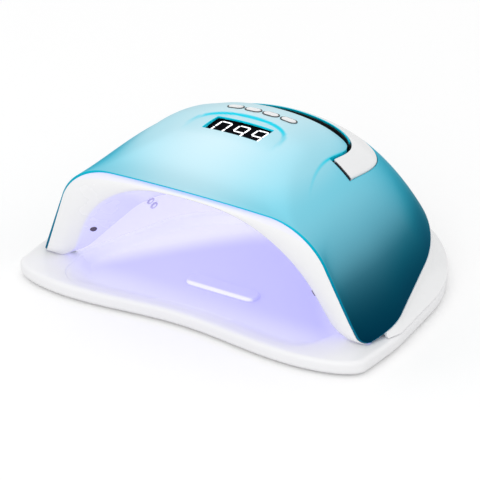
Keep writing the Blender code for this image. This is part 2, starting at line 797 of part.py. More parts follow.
def sensor_place(side):
    """Seat of a sensor in the bezel's throat face, local Z into the cavity."""
    half_count = sum(EDGE_COUNTS) + 1
    mouth, throat = [line[:half_count] for line in bell_lines()]
    a, b = at_share(mouth, SENSOR_AT), at_share(throat, SENSOR_AT)
    c = at_share(mouth, SENSOR_AT + SENSOR_SPAN)
    normal = Vector(np.cross(c - a, b - a)).normalized()
    if normal.x > 0.0:
        normal.negate()
    point = Vector((a + b) / 2.0)
    return frame_at((point.x * side, point.y, point.z), (normal.x * side, normal.y, normal.z))


def build_sensors():
    """Infra-red emitter and receiver in the bezel's two throat faces."""
    for side, name in ((1.0, "ir_emitter"), (-1.0, "ir_receiver")):
        profile = ((0.0, SENSOR_DOME), (SENSOR_RADIUS - SENSOR_DOME, SENSOR_DOME), (SENSOR_RADIUS, 0.0),
                   (SENSOR_RADIUS, -SENSOR_LONG), (0.0, -SENSOR_LONG))
        add_turned(name, profile, sensor_place(side), ROUND_SIDES, "sensor_dark")


def bead_shares():
    """Places of the beads along a strip."""
    span = BEAD_REAR_AT - BEAD_FRONT_AT
    return [BEAD_FRONT_AT + span * i / (BEADS_PER_STRIP - 1) for i in range(BEADS_PER_STRIP)]


def reflector_point(across, at):
    """Point on the reflector's inner face; across runs from -1 (left foot) to 1 (right foot)."""
    whole = stand(*reflector_section(at, DOME_COUNTS), LAMP_BASE_Z + GAP)
    return at_share(whole, 0.5 - across / 2.0)


def reflector_place(across, at):
    """Frame on the reflector with local Z pointing into the cavity."""
    step = FACING_STEP
    here = reflector_point(across, at)
    sideways = reflector_point(across + step, at) - reflector_point(across - step, at)
    back = reflector_point(across, at + step) - reflector_point(across, at - step)
    normal = Vector(np.cross(sideways, back)).normalized()
    centre = Vector((0.0, REFLECTOR_Y, LAMP_BASE_Z))
    if normal.dot(centre - Vector(here)) < 0.0:
        normal.negate()
    return frame_at(here, normal)


def build_reflector():
    """Inner reflector dome with a hole for each LED bead."""
    grid = reflector_grid(REFLECTOR_ROWS, REFLECTOR_COUNTS)
    reflector = add_sheet("reflector", grid, "reflector_white")
    solidify(reflector, REFLECTOR_WALL, 1.0)
    for name, across in STRIPS.items():
        for number, at in enumerate(bead_shares(), start=1):
            hole = add_cylinder(f"bead_hole_{name}_{number}", BEAD_RADIUS + GAP, -CUT_REACH / 2,
                                CUT_REACH / 2, reflector_place(across, at), BORE_SIDES, cutter=True)
            cut(reflector, hole)
    return reflector


def build_led_strips():
    """Flexible LED strips on the reflector's back, each with its row of beads."""
    for name, across in STRIPS.items():
        rows = []
        for r in range(STRIP_STEPS + 1):
            at = STRIP_RUN[0] + (STRIP_RUN[1] - STRIP_RUN[0]) * r / STRIP_STEPS
            row = []
            for c in (-1.0, 0.0, 1.0):
                place = reflector_place(across + STRIP_WIDE * c, at)
                row.append(place @ Vector((0.0, 0.0, -REFLECTOR_WALL - STRIP_GAP)))
            rows.append(row)
        strip = add_sheet(f"led_strip_{name}", np.array(rows), "bead_violet")
        solidify(strip, STRIP_THICK, -1.0)
        for number, at in enumerate(bead_shares(), start=1):
            foot = -REFLECTOR_WALL - STRIP_GAP - STRIP_THICK / 2.0
            place = reflector_place(across, at)
            bead = add_cylinder(f"bead_{name}_{number}", BEAD_RADIUS, foot, BEAD_PROUD, place,
                                BORE_SIDES, cutter=True)
            cut(strip, bead, "UNION")


def hinge_point():
    """Centre of the handle's hinge axis."""
    return Vector((0.0, HINGE_Y, on_skin(ARM_INSIDE, HINGE_Y)[0].z - HINGE_DROP))


def add_slab(name, top, low, finish):
    """Closed solid between two grids of the same layout."""
    top, low = np.asarray(top), np.asarray(low)
    rows, cols = top.shape[:2]
    count = rows * cols
    faces = grid_faces(rows, cols)
    faces += [tuple(count + i for i in reversed(f)) for f in grid_faces(rows, cols)]
    edge = [c for c in range(cols)]
    edge += [r * cols + cols - 1 for r in range(1, rows)]
    edge += [(rows - 1) * cols + c for c in range(cols - 2, -1, -1)]
    edge += [r * cols for r in range(rows - 2, 0, -1)]
    for i, a in enumerate(edge):
        b = edge[(i + 1) % len(edge)]
        faces.append((a, b, count + b, count + a))
    points = np.concatenate((top.reshape(-1, 3), low.reshape(-1, 3)))
    return add_object(name, points, faces, finish)


def handle_low(point, normal, share, pivot):
    """Point of the handle's underside; the rear face follows the swing about the hinge."""
    thick = HANDLE_THICK / normal.z
    behind = point.y - pivot.y
    draft = 0.0
    if behind > REAR_DRAFT_FROM:
        draft = (pivot.z - point.z) / behind * (1.0 - share)
    return Vector((point.x, point.y - draft * thick, point.z - thick))


def build_handle():
    """Strap handle with two arms and hinge lugs, flush with the cover when folded."""
    pivot = hinge_point()
    outside, inside = handle_lines(0.0, 0.0, 0.0)
    shares = (0.0, 1.0 / 3.0, 2.0 / 3.0, 1.0)
    top, low = [], []
    for outer, inner in zip(outside, inside):
        spots = [on_skin(*(outer + (inner - outer) * share)) for share in shares]
        top.append([point for point, _ in spots])
        low.append([handle_low(*spot, share, pivot) for spot, share in zip(spots, shares)])
    handle = add_slab("handle", top, low, "white_gloss")
    for side, name in ((1.0, "right"), (-1.0, "left")):
        place = frame_at((side * ARM_INSIDE, pivot.y, pivot.z), (side, 0.0, 0.0))
        lug = add_cylinder(f"lug_{name}", LUG_RADIUS, GAP, LUG_LENGTH, place, FOOT_SIDES, cutter=True)
        cut(handle, lug, "UNION")
        bore = add_cylinder(f"lug_bore_{name}", PIN_RADIUS + GAP, -LUG_LENGTH, LUG_BORE, place,
                            ROUND_SIDES, cutter=True)
        cut(handle, bore)
    move_origin(handle, pivot)
    return handle


def build_handle_trim():
    """Coloured strip along the strap's front edge, fixed to the handle."""
    line = bow(ARM_INSIDE - GAP, ARM_FRONT_Y, STRAP_FRONT_Y - GAP, STRAP_BEND)
    rows = []
    for x, y in line:
        turn = math.degrees(math.atan2(y - ARM_FRONT_Y, abs(x)))
        if turn < 90.0 - TRIM_HALF_ANGLE:
            continue
        point, normal = on_skin(x, y)
        rows.append((point - normal * GAP, point - normal * (GAP + TRIM_TALL)))
    trim = add_sheet("handle_trim", np.array(rows), "teal_plate")
    solidify(trim, TRIM_THICK, 1.0)
    move_origin(trim, hinge_point())
    return trim


def build_well():
    """Black well under the handle and the finger slot, with the hinge pins in its walls."""
    grow = RUN_GAP + WELL_LEDGE
    outside, inside = handle_lines(grow + WELL_WALL, ARM_SWING_ROOM, grow + WELL_WALL)
    rows = []
    for outer, inner in zip(outside, inside):
        middle = (outer + inner) / 2.0
        floor = on_skin(*middle)[0].z - WELL_DEEP
        step = (middle - outer) / np.linalg.norm(middle - outer) * WELL_RIM_REACH
        outer_top = min(under_cover(*outer, SEAT_GAP), under_cover(*(outer + step), SEAT_GAP))
        inner_top = min(under_cover(*inner, SEAT_GAP), under_cover(*(inner - step), SEAT_GAP))
        rows.append(((*outer, outer_top), (*outer, min(floor, outer_top - WELL_WALL)),
                     (*inner, floor), (*inner, inner_top)))
    well = add_sheet("handle_well", np.array(rows), "well_black")
    solidify(well, WELL_WALL, 1.0)
    pivot = hinge_point()
    wall_x = ARM_INSIDE - grow
    for side, name in ((1.0, "right"), (-1.0, "left")):
        place = frame_at((side * wall_x, pivot.y, pivot.z), (side, 0.0, 0.0))
        cut(well, add_cylinder(f"pin_hole_{name}", PIN_RADIUS + GAP, -2.0 * WELL_WALL, 2.0 * WELL_WALL,
                               place, ROUND_SIDES, cutter=True))
        seat = -WELL_WALL - GAP
        tip = grow + LUG_BORE - GAP
        profile = ((0.0, tip), (PIN_RADIUS, tip), (PIN_RADIUS, seat), (PIN_HEAD_RADIUS, seat),
                   (PIN_HEAD_RADIUS, seat - PIN_HEAD_THICK), (0.0, seat - PIN_HEAD_THICK))
        add_turned(f"hinge_pin_{name}", profile, place, ROUND_SIDES, "steel")
    return well


def key_places():
    """Frames of the four keys on the cover, local Z along the skin's normal."""
    places = []
    for number in range(4):
        x = (number - 1.5) * KEY_PITCH
        point, normal = on_skin(x, KEY_Y)
        places.append(frame_at(point, normal))
    return places


def lens_place():
    """Frame on the display lens's upper face, square to the skin and under the cover round it."""
    point, normal = on_skin(0.0, WINDOW_Y)
    reach_x = WINDOW_LONG / 2 + LENS_LEDGE
    reach_y = WINDOW_WIDE / 2 + LENS_LEDGE
    corners = [(sx * reach_x, WINDOW_Y + sy * reach_y) for sx in (-1, 1) for sy in (-1, 1)]
    inside = [Vector((x, y, under_cover(x, y, GAP))) - point for x, y in corners]
    return frame_at(point + normal * min(spot.dot(normal) for spot in inside), normal)


def module_low():
    """Depth of the digit module's underside below the lens's upper face."""
    return -LENS_THICK - GAP - DISPLAY_TALL


def board_top_z():
    """Upper face of the control board, under the tilted digit module."""
    corners = [Vector((sx * WINDOW_LONG / 2, sy * WINDOW_WIDE / 2, module_low()))
               for sx in (-1, 1) for sy in (-1, 1)]
    return min((lens_place() @ corner).z for corner in corners) - GAP


def build_display():
    """Dark lens under the window and the digit module on the board."""
    place = lens_place()
    reach_x = WINDOW_LONG / 2 + LENS_LEDGE
    reach_y = WINDOW_WIDE / 2 + LENS_LEDGE
    add_box("display_lens", (-reach_x, -reach_y, -LENS_THICK), (reach_x, reach_y, 0.0), "lens_black",
            place=place)
    add_box("display_module", (-WINDOW_LONG / 2, -WINDOW_WIDE / 2, module_low()),
            (WINDOW_LONG / 2, WINDOW_WIDE / 2, -LENS_THICK - GAP), "digit_grey", place=place)


KEY_NAMES = ("key_10s", "key_30s", "key_60s", "key_99s")


def build_keys():
    """Four oval timer keys with flanges and stems, each over its own switch."""
    switch_low = board_top_z() + GAP
    switch_top = switch_low + SWITCH_TALL
    cap = (KEY_LONG - 2.0 * KEY_SIDE_GAP, KEY_WIDE - 2.0 * KEY_SIDE_GAP)
    rim = (KEY_LONG + 2.0 * KEY_FLANGE, KEY_WIDE + 2.0 * KEY_FLANGE)
    rim_top = -COVER_WALL - 2.0 * GAP
    rim_low = rim_top - KEY_FLANGE_THICK
    for name, place in zip(KEY_NAMES, key_places()):
        up = place.col[2]
        lean = math.sqrt(1.0 - up.z**2)
        tip_z = switch_top + GAP + KEY_PRESS * up.z + KEY_STEM_LONG / 2.0 * lean
        stem_low = (tip_z - place.translation.z) / up.z
        rings = [stadium(KEY_STEM_LONG, KEY_STEM_WIDE, stem_low),
                 stadium(KEY_STEM_LONG, KEY_STEM_WIDE, rim_low),
                 stadium(*rim, rim_low), stadium(*rim, rim_top), stadium(*cap, rim_top),
                 stadium(*cap, KEY_PROUD - KEY_ROUND),
                 stadium(cap[0] - 2.0 * KEY_ROUND, cap[1] - 2.0 * KEY_ROUND, KEY_PROUD)]
        key = add_rings(name, rings, "white_gloss", place=place)
        move_origin(key, place.translation)
        tip = place @ Vector((0.0, 0.0, stem_low))
        half = SWITCH_SIDE / 2.0
        add_box(name.replace("key", "switch"), (tip.x - half, tip.y - half, switch_low),
                (tip.x + half, tip.y + half, switch_top), "well_black")


def build_board():
    """Control board, held under the cover's four posts."""
    top = board_top_z()
    add_box("control_board", (-BOARD_HALF_X, BOARD_FRONT_Y, top - BOARD_THICK),
            (BOARD_HALF_X, BOARD_REAR_Y, top), "board_green")


def add_board_posts(cover):
    """Four posts moulded on the cover's inside, down to the control board."""
    low = board_top_z() + GAP
    corners = [(sx * POST_RADIUS, sy * POST_RADIUS) for sx in (-1.0, 1.0) for sy in (-1.0, 1.0)]
    places = [(x, y) for x in (-POST_X, POST_X) for y in (POST_FRONT_Y, POST_REAR_Y)]
    for number, (x, y) in enumerate(places, start=1):
        high = min(under_cover(x + dx, y + dy) for dx, dy in corners) + COVER_WALL / 2.0
        post = add_cylinder(f"board_post_{number}", POST_RADIUS, low, high, at_plan(x, y), BORE_SIDES,
                            cutter=True)
        cut(cover, post, "UNION")


def rear_line(inward):
    """Half plan line of the lamp's rear foot, pulled inwards."""
    section, foot_y, _ = skin_section(1.0, FOOT_COUNTS)
    line = inset(section, inward)
    line[:, 1] += foot_y
    return line


def cavity_line(outward):
    """Half plan line of the reflector's foot, pushed outwards."""
    section, foot_y, _ = reflector_section(1.0, FOOT_COUNTS)
    line = inset(section, -outward)
    line[:, 1] += foot_y
    return line


def ring_seat():
    """Half plan line inside the housing's wall, clear of it up to the top of the screw bosses."""
    _, inner = housing_walls()
    hub = np.array((0.0, HOUSING_HUB_Y))
    seat = []
    for column in inner[:HOUSING_COLUMNS // 2 + 1]:
        heights = np.linspace(LAMP_BASE_Z, LAMP_BASE_Z + RING_THICK + BOSS_TALL, HOUSING_STEPS)
        places = np.stack([np.interp(heights, column[:, 2], column[:, k]) for k in (0, 1)], axis=1)
        rays = places - hub
        reach = np.linalg.norm(rays, axis=1)
        nearest = int(np.argmin(reach))
        seat.append(hub + rays[nearest] * (1.0 - RING_GAP / reach[nearest]))
    return np.array(seat)


def ring_edges():
    """Outer and inner half plan lines of the base ring."""
    outer = respaced(ring_seat(), RING_POINTS)
    inner = respaced(cavity_line(REFLECTOR_WALL + RING_GAP), RING_POINTS)
    outer[-1][0] = inner[-1][0] = 0.0
    return outer, inner


def ring_places(shares):
    """Plan places on the base ring near its outer edge, on both sides."""
    outer, inner = ring_edges()
    places = []
    for share in shares:
        a, b = at_share(outer, share), at_share(inner, share)
        along = (b - a) / np.linalg.norm(b - a)
        x, y = a + along * (BOSS_RADIUS + BOSS_EDGE)
        places.extend(((x, y), (-x, y)))
    return places


def magnet_places():
    """Plan places of the magnets, midway across the base ring."""
    outer, inner = ring_edges()
    places = []
    for share in MAGNET_SHARES:
        x, y = (at_share(outer, share) + at_share(inner, share)) / 2.0
        places.extend(((x, y), (-x, y)))
    return places


def build_ring():
    """Base ring that closes the lamp between housing and reflector, with screws and magnets."""
    outer, inner = ring_edges()
    mirror = np.array((-1.0, 1.0))
    outside = np.concatenate((outer, (outer * mirror)[::-1][1:]))
    inside = np.concatenate((inner, (inner * mirror)[::-1][1:]))
    low = LAMP_BASE_Z + GAP
    high = low + RING_THICK - GAP
    rings = [[(*a, low), (*b, low), (*b, high), (*a, high)] for a, b in zip(outside, inside)]
    ring = add_rings("base_ring", rings, "white_gloss")
    head_top = low + SCREW_HEAD_TALL
    for number, (x, y) in enumerate(ring_places(SCREW_SHARES), start=1):
        bore = ((0.0, high + GAP), (SCREW_SHANK_RADIUS + GAP, high + GAP),
                (SCREW_SHANK_RADIUS + GAP, head_top), (SCREW_HEAD_RADIUS + GAP, head_top),
                (SCREW_HEAD_RADIUS + GAP, low - GAP), (0.0, low - GAP))
        cut(ring, add_turned(f"screw_hole_{number}", bore, at_plan(x, y), BORE_SIDES, cutter=True))
        tip = low + SCREW_LONG
        under_head = head_top - GAP
        solid = ((0.0, tip), (SCREW_SHANK_RADIUS, tip), (SCREW_SHANK_RADIUS, under_head),
                 (SCREW_HEAD_RADIUS, under_head), (SCREW_HEAD_RADIUS, low), (0.0, low))
        add_turned(f"ring_screw_{number}", solid, at_plan(x, y), BORE_SIDES, "steel")
    for number, (x, y) in enumerate(magnet_places(), start=1):
        cut(ring, add_cylinder(f"magnet_hole_{number}", MAGNET_RADIUS + GAP, low - GAP,
                               low + MAGNET_THICK + GAP, at_plan(x, y), ROUND_SIDES, cutter=True))
        add_cylinder(f"ring_magnet_{number}", MAGNET_RADIUS, low, low + MAGNET_THICK, at_plan(x, y),
                     ROUND_SIDES, "steel")
    return ring


def tray_outline():
    """Half plan line of the tray from the middle of the front to the middle of the rear."""
    line = []
    for i in range(TRAY_FRONT_POINTS):
        share = i / TRAY_FRONT_POINTS
        scoop = TRAY_SCOOP * math.cos(math.pi / 2 * share) ** 2
        line.append((TRAY_CORNER_X * share, TRAY_FRONT_Y + scoop))
    for i in range(TRAY_CORNER_POINTS):
        a = math.pi / 2 * i / (TRAY_CORNER_POINTS - 1)
        line.append((TRAY_CORNER_X + (TRAY_SIDE_X - TRAY_CORNER_X) * math.sin(a),
                     TRAY_CORNER_Y - (TRAY_CORNER_Y - TRAY_FRONT_Y) * math.cos(a)))
    for i in range(1, TRAY_SIDE_POINTS + 1):
        share = i / (TRAY_SIDE_POINTS + 1)
        line.append((TRAY_SIDE_X + (BODY_HALF - TRAY_SIDE_X) * math.sin(math.pi / 2 * share),
                     TRAY_CORNER_Y + (POLE_Y - TRAY_CORNER_Y) * share))
    rear = respaced(rear_line(0.0), RING_POINTS)
    return np.concatenate((np.array(line), rear))


def tray_floor_line():
    """Half plan line of the tray's rim on the inside, point for point with the outline."""
    corner = TRAY_REST_CORNER
    centre = np.array((TRAY_ARM_REST_X - corner, TRAY_FRONT_Y + TRAY_RIM + corner))
    front = tray_outline()[:TRAY_FRONT_POINTS]
    line = [(x / TRAY_CORNER_X * centre[0], y + TRAY_RIM) for x, y in front]
    for i in range(TRAY_CORNER_POINTS):
        a = math.pi / 2 * i / (TRAY_CORNER_POINTS - 1)
        line.append(centre + corner * np.array((math.sin(a), -math.cos(a))))
    inner = respaced(cavity_line(-TRAY_REAR_INSET), RING_POINTS)
    start = np.array(line[-1])
    for i in range(1, TRAY_SIDE_POINTS + 1):
        line.append(start + (inner[0] - start) * i / (TRAY_SIDE_POINTS + 1))
    return np.concatenate((np.array(line), inner))


def whole_loop(half):
    """Closed loop from a half plan line."""
    half = np.array(half)
    half[0][0] = 0.0
    half[-1][0] = 0.0
    left = half[::-1][1:-1] * np.array((-1.0, 1.0))
    return np.concatenate((half, left))


def loop_inset(loop, depth):
    """Pull a closed loop inwards; depth may change from point to point."""
    ahead = np.roll(loop, -1, axis=0) - np.roll(loop, 1, axis=0)
    ahead /= np.linalg.norm(ahead, axis=1)[:, None]
    inward = np.stack((-ahead[:, 1], ahead[:, 0]), axis=1)
    return loop + inward * np.broadcast_to(depth, len(loop)).reshape(-1, 1)


def level(loop, z):
    """Plan loop lifted to a height."""
    return [(x, y, z) for x, y in loop]


def rounded_side(edge, low, high):
    """Loops up a side whose lower and upper edges are quarter rounds."""
    loops = []
    for i in range(ROUND_STEPS + 1):
        a = math.pi / 2 * i / ROUND_STEPS
        loops.append(level(loop_inset(edge, TRAY_LOW_ROUND * (1.0 - math.sin(a))),
                           low + TRAY_LOW_ROUND * (1.0 - math.cos(a))))
    for i in range(ROUND_STEPS + 1):
        a = math.pi / 2 * i / ROUND_STEPS
        loops.append(level(loop_inset(edge, TRAY_TOP_ROUND * (1.0 - math.cos(a))),
                           high - TRAY_TOP_ROUND * (1.0 - math.sin(a))))
    return loops


def build_tray():
    """Loose tray: bull-nosed rim, dished floor, finger bar, foot and magnet recesses."""
    edge = whole_loop(tray_outline())
    rim = whole_loop(tray_floor_line())
    slope_run = TRAY_SLOPE_FROM_Y - TRAY_SLOPE_FULL_Y
    front = np.clip((TRAY_SLOPE_FROM_Y - rim[:, 1]) / slope_run, 0.0, 1.0)
    floor = loop_inset(rim, TRAY_SLOPE_SIDE + (TRAY_SLOPE_FRONT - TRAY_SLOPE_SIDE) * front)
    low, top = TRAY_BOTTOM_Z, TRAY_TOP_Z
    rings = rounded_side(edge, low, top) + [level(rim, top), level(floor, TRAY_FLOOR_Z)]
    tray = add_rings("tray", rings, "tray_white")
    bar_top = TRAY_FLOOR_Z + BAR_TALL
    pill = [stadium(BAR_LONG, BAR_WIDE, TRAY_FLOOR_Z - BAR_ROUND),
            stadium(BAR_LONG, BAR_WIDE, bar_top - BAR_ROUND),
            stadium(BAR_LONG - 2.0 * BAR_ROUND, BAR_WIDE - 2.0 * BAR_ROUND, bar_top)]
    cut(tray, add_rings("bar_union", pill, cutter=True, place=at_plan(0.0, BAR_Y)), "UNION")
    seat = low + FOOT_RECESS
    for number, (x, y) in enumerate(foot_places(), start=1):
        cut(tray, add_cylinder(f"foot_recess_{number}", FOOT_RADIUS + GAP, -low, seat, at_plan(x, y),
                               FOOT_SIDES, cutter=True))
        profile = ((0.0, seat - GAP), (FOOT_RADIUS, seat - GAP), (FOOT_RADIUS, FOOT_ROUND),
                   (FOOT_RADIUS - FOOT_ROUND, 0.0), (0.0, 0.0))
        add_turned(f"tray_foot_{number}", profile, at_plan(x, y), FOOT_SIDES, "rubber_grey")
    for number, (x, y) in enumerate(magnet_places(), start=1):
        cut(tray, add_cylinder(f"tray_magnet_hole_{number}", MAGNET_RADIUS + GAP,
                               top - MAGNET_THICK - GAP, top + GAP, at_plan(x, y), ROUND_SIDES, cutter=True))
        add_cylinder(f"tray_magnet_{number}", MAGNET_RADIUS, top - MAGNET_THICK, top, at_plan(x, y),
                     ROUND_SIDES, "steel")
    return tray


def foot_places():
    """Plan places of the four rubber feet."""
    return [(side * x, y) for x, y in (FOOT_FRONT, FOOT_REAR) for side in (1.0, -1.0)]


def jack_place(housing):
    """Frame of the DC inlet on the rear wall, local Z square out of the wall."""
    points = [v.co for v in housing.data.vertices]
    faces = [tuple(f.vertices) for f in housing.data.polygons]
    wall = BVHTree.FromPolygons(points, faces)
    point, normal, _, _ = wall.ray_cast(Vector((JACK_X, HIGH, JACK_Z)), Vector((0.0, -1.0, 0.0)))
    if normal.y < 0.0:
        normal.negate()
    return frame_at(point, normal)


def build_jack(housing):
    """DC inlet with flange, bore and centre pin."""
    seat = 3.0 * GAP
    face = seat + JACK_FLANGE_THICK
    floor = face - JACK_BORE_DEEP
    profile = ((0.0, face - JACK_PIN_BACK), (JACK_PIN_RADIUS, face - JACK_PIN_BACK), (JACK_PIN_RADIUS, floor),
               (JACK_BORE_RADIUS, floor), (JACK_BORE_RADIUS, face), (JACK_FLANGE_RADIUS, face),
               (JACK_FLANGE_RADIUS, seat), (JACK_RADIUS, seat), (JACK_RADIUS, -JACK_LONG), (0.0, -JACK_LONG))
    place = jack_place(housing)
    add_turned("dc_jack", profile, place, JACK_SIDES, "well_black")
    cut(housing, add_cylinder("jack_cutter", JACK_RADIUS + GAP, -JACK_LONG, JACK_LONG, place, JACK_SIDES,
                              cutter=True))


def report_counts():
    """Print triangle counts of the evaluated parts."""
    depsgraph = bpy.context.evaluated_depsgraph_get()
    total = 0
    for item in PARTS.objects:
        mesh = item.evaluated_get(depsgraph).to_mesh()
        mesh.calc_loop_triangles()
        total += len(mesh.loop_triangles)
        print(item.name, len(mesh.loop_triangles))
        item.evaluated_get(depsgraph).to_mesh_clear()
    print("parts", len(PARTS.objects), "triangles", total)


build_tray()
build_ring()
HOUSING = build_housing()
build_jack(HOUSING)
build_bezel()
build_sensors()
build_reflector()
build_led_strips()
build_board()
build_display()
build_keys()
build_well()
build_handle()
build_handle_trim()
build_cover()
report_counts()
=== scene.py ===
"""Looks of the two-hand UV LED nail lamp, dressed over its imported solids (metres, mouth towards -Y)."""
import math

import bmesh
import bpy
import numpy as np
from mathutils import Matrix, Vector
from mathutils.bvhtree import BVHTree


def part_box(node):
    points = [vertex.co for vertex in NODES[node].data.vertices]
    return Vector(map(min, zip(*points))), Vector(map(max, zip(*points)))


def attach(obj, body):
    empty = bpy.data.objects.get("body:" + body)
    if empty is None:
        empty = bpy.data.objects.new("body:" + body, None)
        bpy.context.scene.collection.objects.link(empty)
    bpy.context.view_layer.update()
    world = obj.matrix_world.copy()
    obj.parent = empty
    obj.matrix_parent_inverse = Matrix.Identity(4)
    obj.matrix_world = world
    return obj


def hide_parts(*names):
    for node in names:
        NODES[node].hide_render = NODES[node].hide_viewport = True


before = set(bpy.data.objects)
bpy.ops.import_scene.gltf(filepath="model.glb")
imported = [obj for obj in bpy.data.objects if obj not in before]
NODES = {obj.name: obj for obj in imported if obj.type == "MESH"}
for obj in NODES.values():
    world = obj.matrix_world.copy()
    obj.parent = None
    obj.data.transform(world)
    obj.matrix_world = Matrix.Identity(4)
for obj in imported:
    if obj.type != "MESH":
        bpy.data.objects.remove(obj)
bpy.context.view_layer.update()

# Camera at the photograph's angle
CAMERA_AIM = (-0.0007, -0.0260, 0.0268)
CAMERA_AZIMUTH = 31.97
CAMERA_LIFT = 27.03
CAMERA_DISTANCE = 1.505
CAMERA_LENS = 195.0
SENSOR_WIDTH = 36.0

# Walls and clearances
GAP = 0.0003
COVER_WALL = 0.0022
HOUSING_WALL = 0.0024
BEZEL_WALL = 0.0022
REFLECTOR_WALL = 0.0016
RUN_GAP = 0.0008
SEAT_GAP = 0.0007
HIGH = 1.0
SIDEWAYS = 0.9
QUARTERS = ((1, 1), (-1, 1), (-1, -1), (1, -1))

# Lamp skin: a fan of arches from the mouth to the rear
LAMP_BASE_Z = 0.0100
BODY_HALF = 0.1182
FRONT_HALF = 0.1076
FRONT_Y = -0.0730
POLE_Y = -0.0480
POLE_AT = 0.70
HALF_EASE = 1.6
FOOT_EASE = 1.4
SKIN_LEAN = (-7.2, -3.4, 58.8, 90.0)
SKIN_REACH = (0.0714, 0.0916, 0.1120, 0.1470)
SKIN_LEG = (67.0, 48.4, 58.0, 86.0)
SKIN_FILLET = (0.0392, 0.0665, 0.0862, 0.1100)
SKIN_CROWN = (1.4000, 0.1140, 0.1010, 0.1160)
LEG_LEAST = 0.0020
CROWN_LEAST = 0.0020
CROWN_ROOM = 1.002
FILLET_MOST = 0.98
FILLET_STEP = 0.96
SKIN_COUNTS = (12, 36, 40)
SKIN_ROWS = 161
PLAN_COUNTS = (12, 40, 40)
SHARP_ANGLE = math.radians(38.0)
SAME_POINT = 1e-7
SHEET_MERGE = 1e-6
UPWARD_LEAST = 0.2

# Cover: rows, edges and relief
COVER_COUNTS = (8, 30, 46)
COVER_FIRST_AT = 0.003
COVER_LAST_AT = 0.93
ROW_SAMPLES = 600
FINE_STEP = 0.0008
PLAIN_STEP = 0.0020
FINE_FRONT_Y = -0.047
FINE_REAR_Y = -0.012
EDGE_ROUND = 0.0005
CROWN_LOW_Z = 0.060
CROWN_FADE = 0.012
STEEPEST = 0.1
EDGE_STEPS = 3
SNAP = 0.00004
PARTING_Y = -0.0700
PARTING_RISE = 0.0004
PARTING_SLOPE = 0.187
CORNER_ROUND = 0.0066
CORNER_STEPS = 12
BROW_HALF = 0.0310
BROW_FRONT_Y = -0.0460
BROW_CENTRE_Y = -0.0362
BROW_REAR = 0.0235
BROW_POWER = 2.7
BROW_FULL_SLOPE = 0.45
BROW_DEEP = 0.0012
BROW_STEP = 0.0026
SLOPE_STEP = 0.0002
CREASE_TOP_Y = -0.0180
CREASE_END_Y = -0.0560
CREASE_X = 0.0537
CREASE_CURVE = 6.4
CREASE_BAND = 0.0013
CREASE_RISE = 0.0012
CREASE_STEP = 0.0040
CREASE_BACK = 0.0200
CREASE_REAR_Y = (0.002, 0.014)

# Display window, keys and digits
WINDOW_Y = -0.0292
LENS_SHIFT = 0.0023
WINDOW_LONG = 0.0370
WINDOW_WIDE = 0.0170
WINDOW_CORNER = 0.0010
WINDOW_CORNER_STEPS = 4
LENS_LEDGE = 0.0015
LENS_THICK = 0.0014
LENS_SOFT = 0.0003
KEY_NAMES = ("key_10s", "key_30s", "key_60s", "key_99s")
KEY_Y = -0.0030
KEY_PITCH = 0.0118
KEY_LONG = 0.0102
KEY_WIDE = 0.0064
KEY_PROUD = 0.0006
KEY_SIDE_GAP = 0.0004
KEY_FLANGE = 0.0006
KEY_FLANGE_THICK = 0.0012
KEY_STEM_LONG = 0.0036
KEY_STEM_WIDE = 0.0032
KEY_ROUND = 0.0009
KEY_DISH = 0.0002
KEY_DISH_SHARE = (0.55, 0.45)
# Black ovals under the keys' gaps, a painted shadow
GAP_SHADOW_ROOM = 0.0001
GAP_SHADOW_LAP = 0.0003
GAP_SHADOW_TOP = 0.0002
GAP_SHADOW_LOW = -0.0008
DIGIT_TALL = 0.0134
DIGIT_WIDE = 0.0070
DIGIT_PITCH = 0.0121
DIGIT_LEAN = 0.10
SEGMENT_WIDE = 0.0011
SEGMENT_TALL = 0.00008
SEGMENT_TRIM = 0.35
SEGMENT_SLANT = 0.42
SEGMENT_EDGE = 0.7
SEGMENT_TOP = (0.98, 0.9)
DIGITS = "099"

# Handle, its opening and its hinge
HANDLE_THICK = 0.0040
HANDLE_ROUND = 0.0009
HANDLE_END_STEPS = 4
REAR_DRAFT_FROM = 0.0150
ARM_FRONT_Y = -0.0160
ARM_TRIM = 0.0010
ARM_INSIDE = 0.0545
ARM_OUTSIDE = 0.0660
STRAP_FRONT_Y = 0.0308
STRAP_REAR_Y = 0.0500
STRAP_BEND = 3.0
SLOT_FRONT_Y = 0.0140
SLOT_BEND = 6.0
ARM_SWING_ROOM = 0.0025
TRIM_TALL = 0.0032
TRIM_BAND = 0.0012
TRIM_THICK = 0.0008
TRIM_HALF_ANGLE = 56.0
STRIP_CORNER_STEPS = 3
# Black strips at the arms' front ends, a painted shadow of the gaps there
END_SHADOW_SHORT = 0.0008
END_SHADOW_POINTS = 12
HINGE_Y = -0.0100
HINGE_DROP = 0.0052
LUG_RADIUS = 0.0032
LUG_LENGTH = 0.0030
LUG_BORE = 0.0024
LUG_BORE_RADIUS = 0.0019
SECTION_LEAST = 0.0001
SECTION_TOP_POINTS = 11
SECTION_LOW_POINTS = 7
SECTION_CORNER_STEPS = 4
BOW_EASE = 1.5

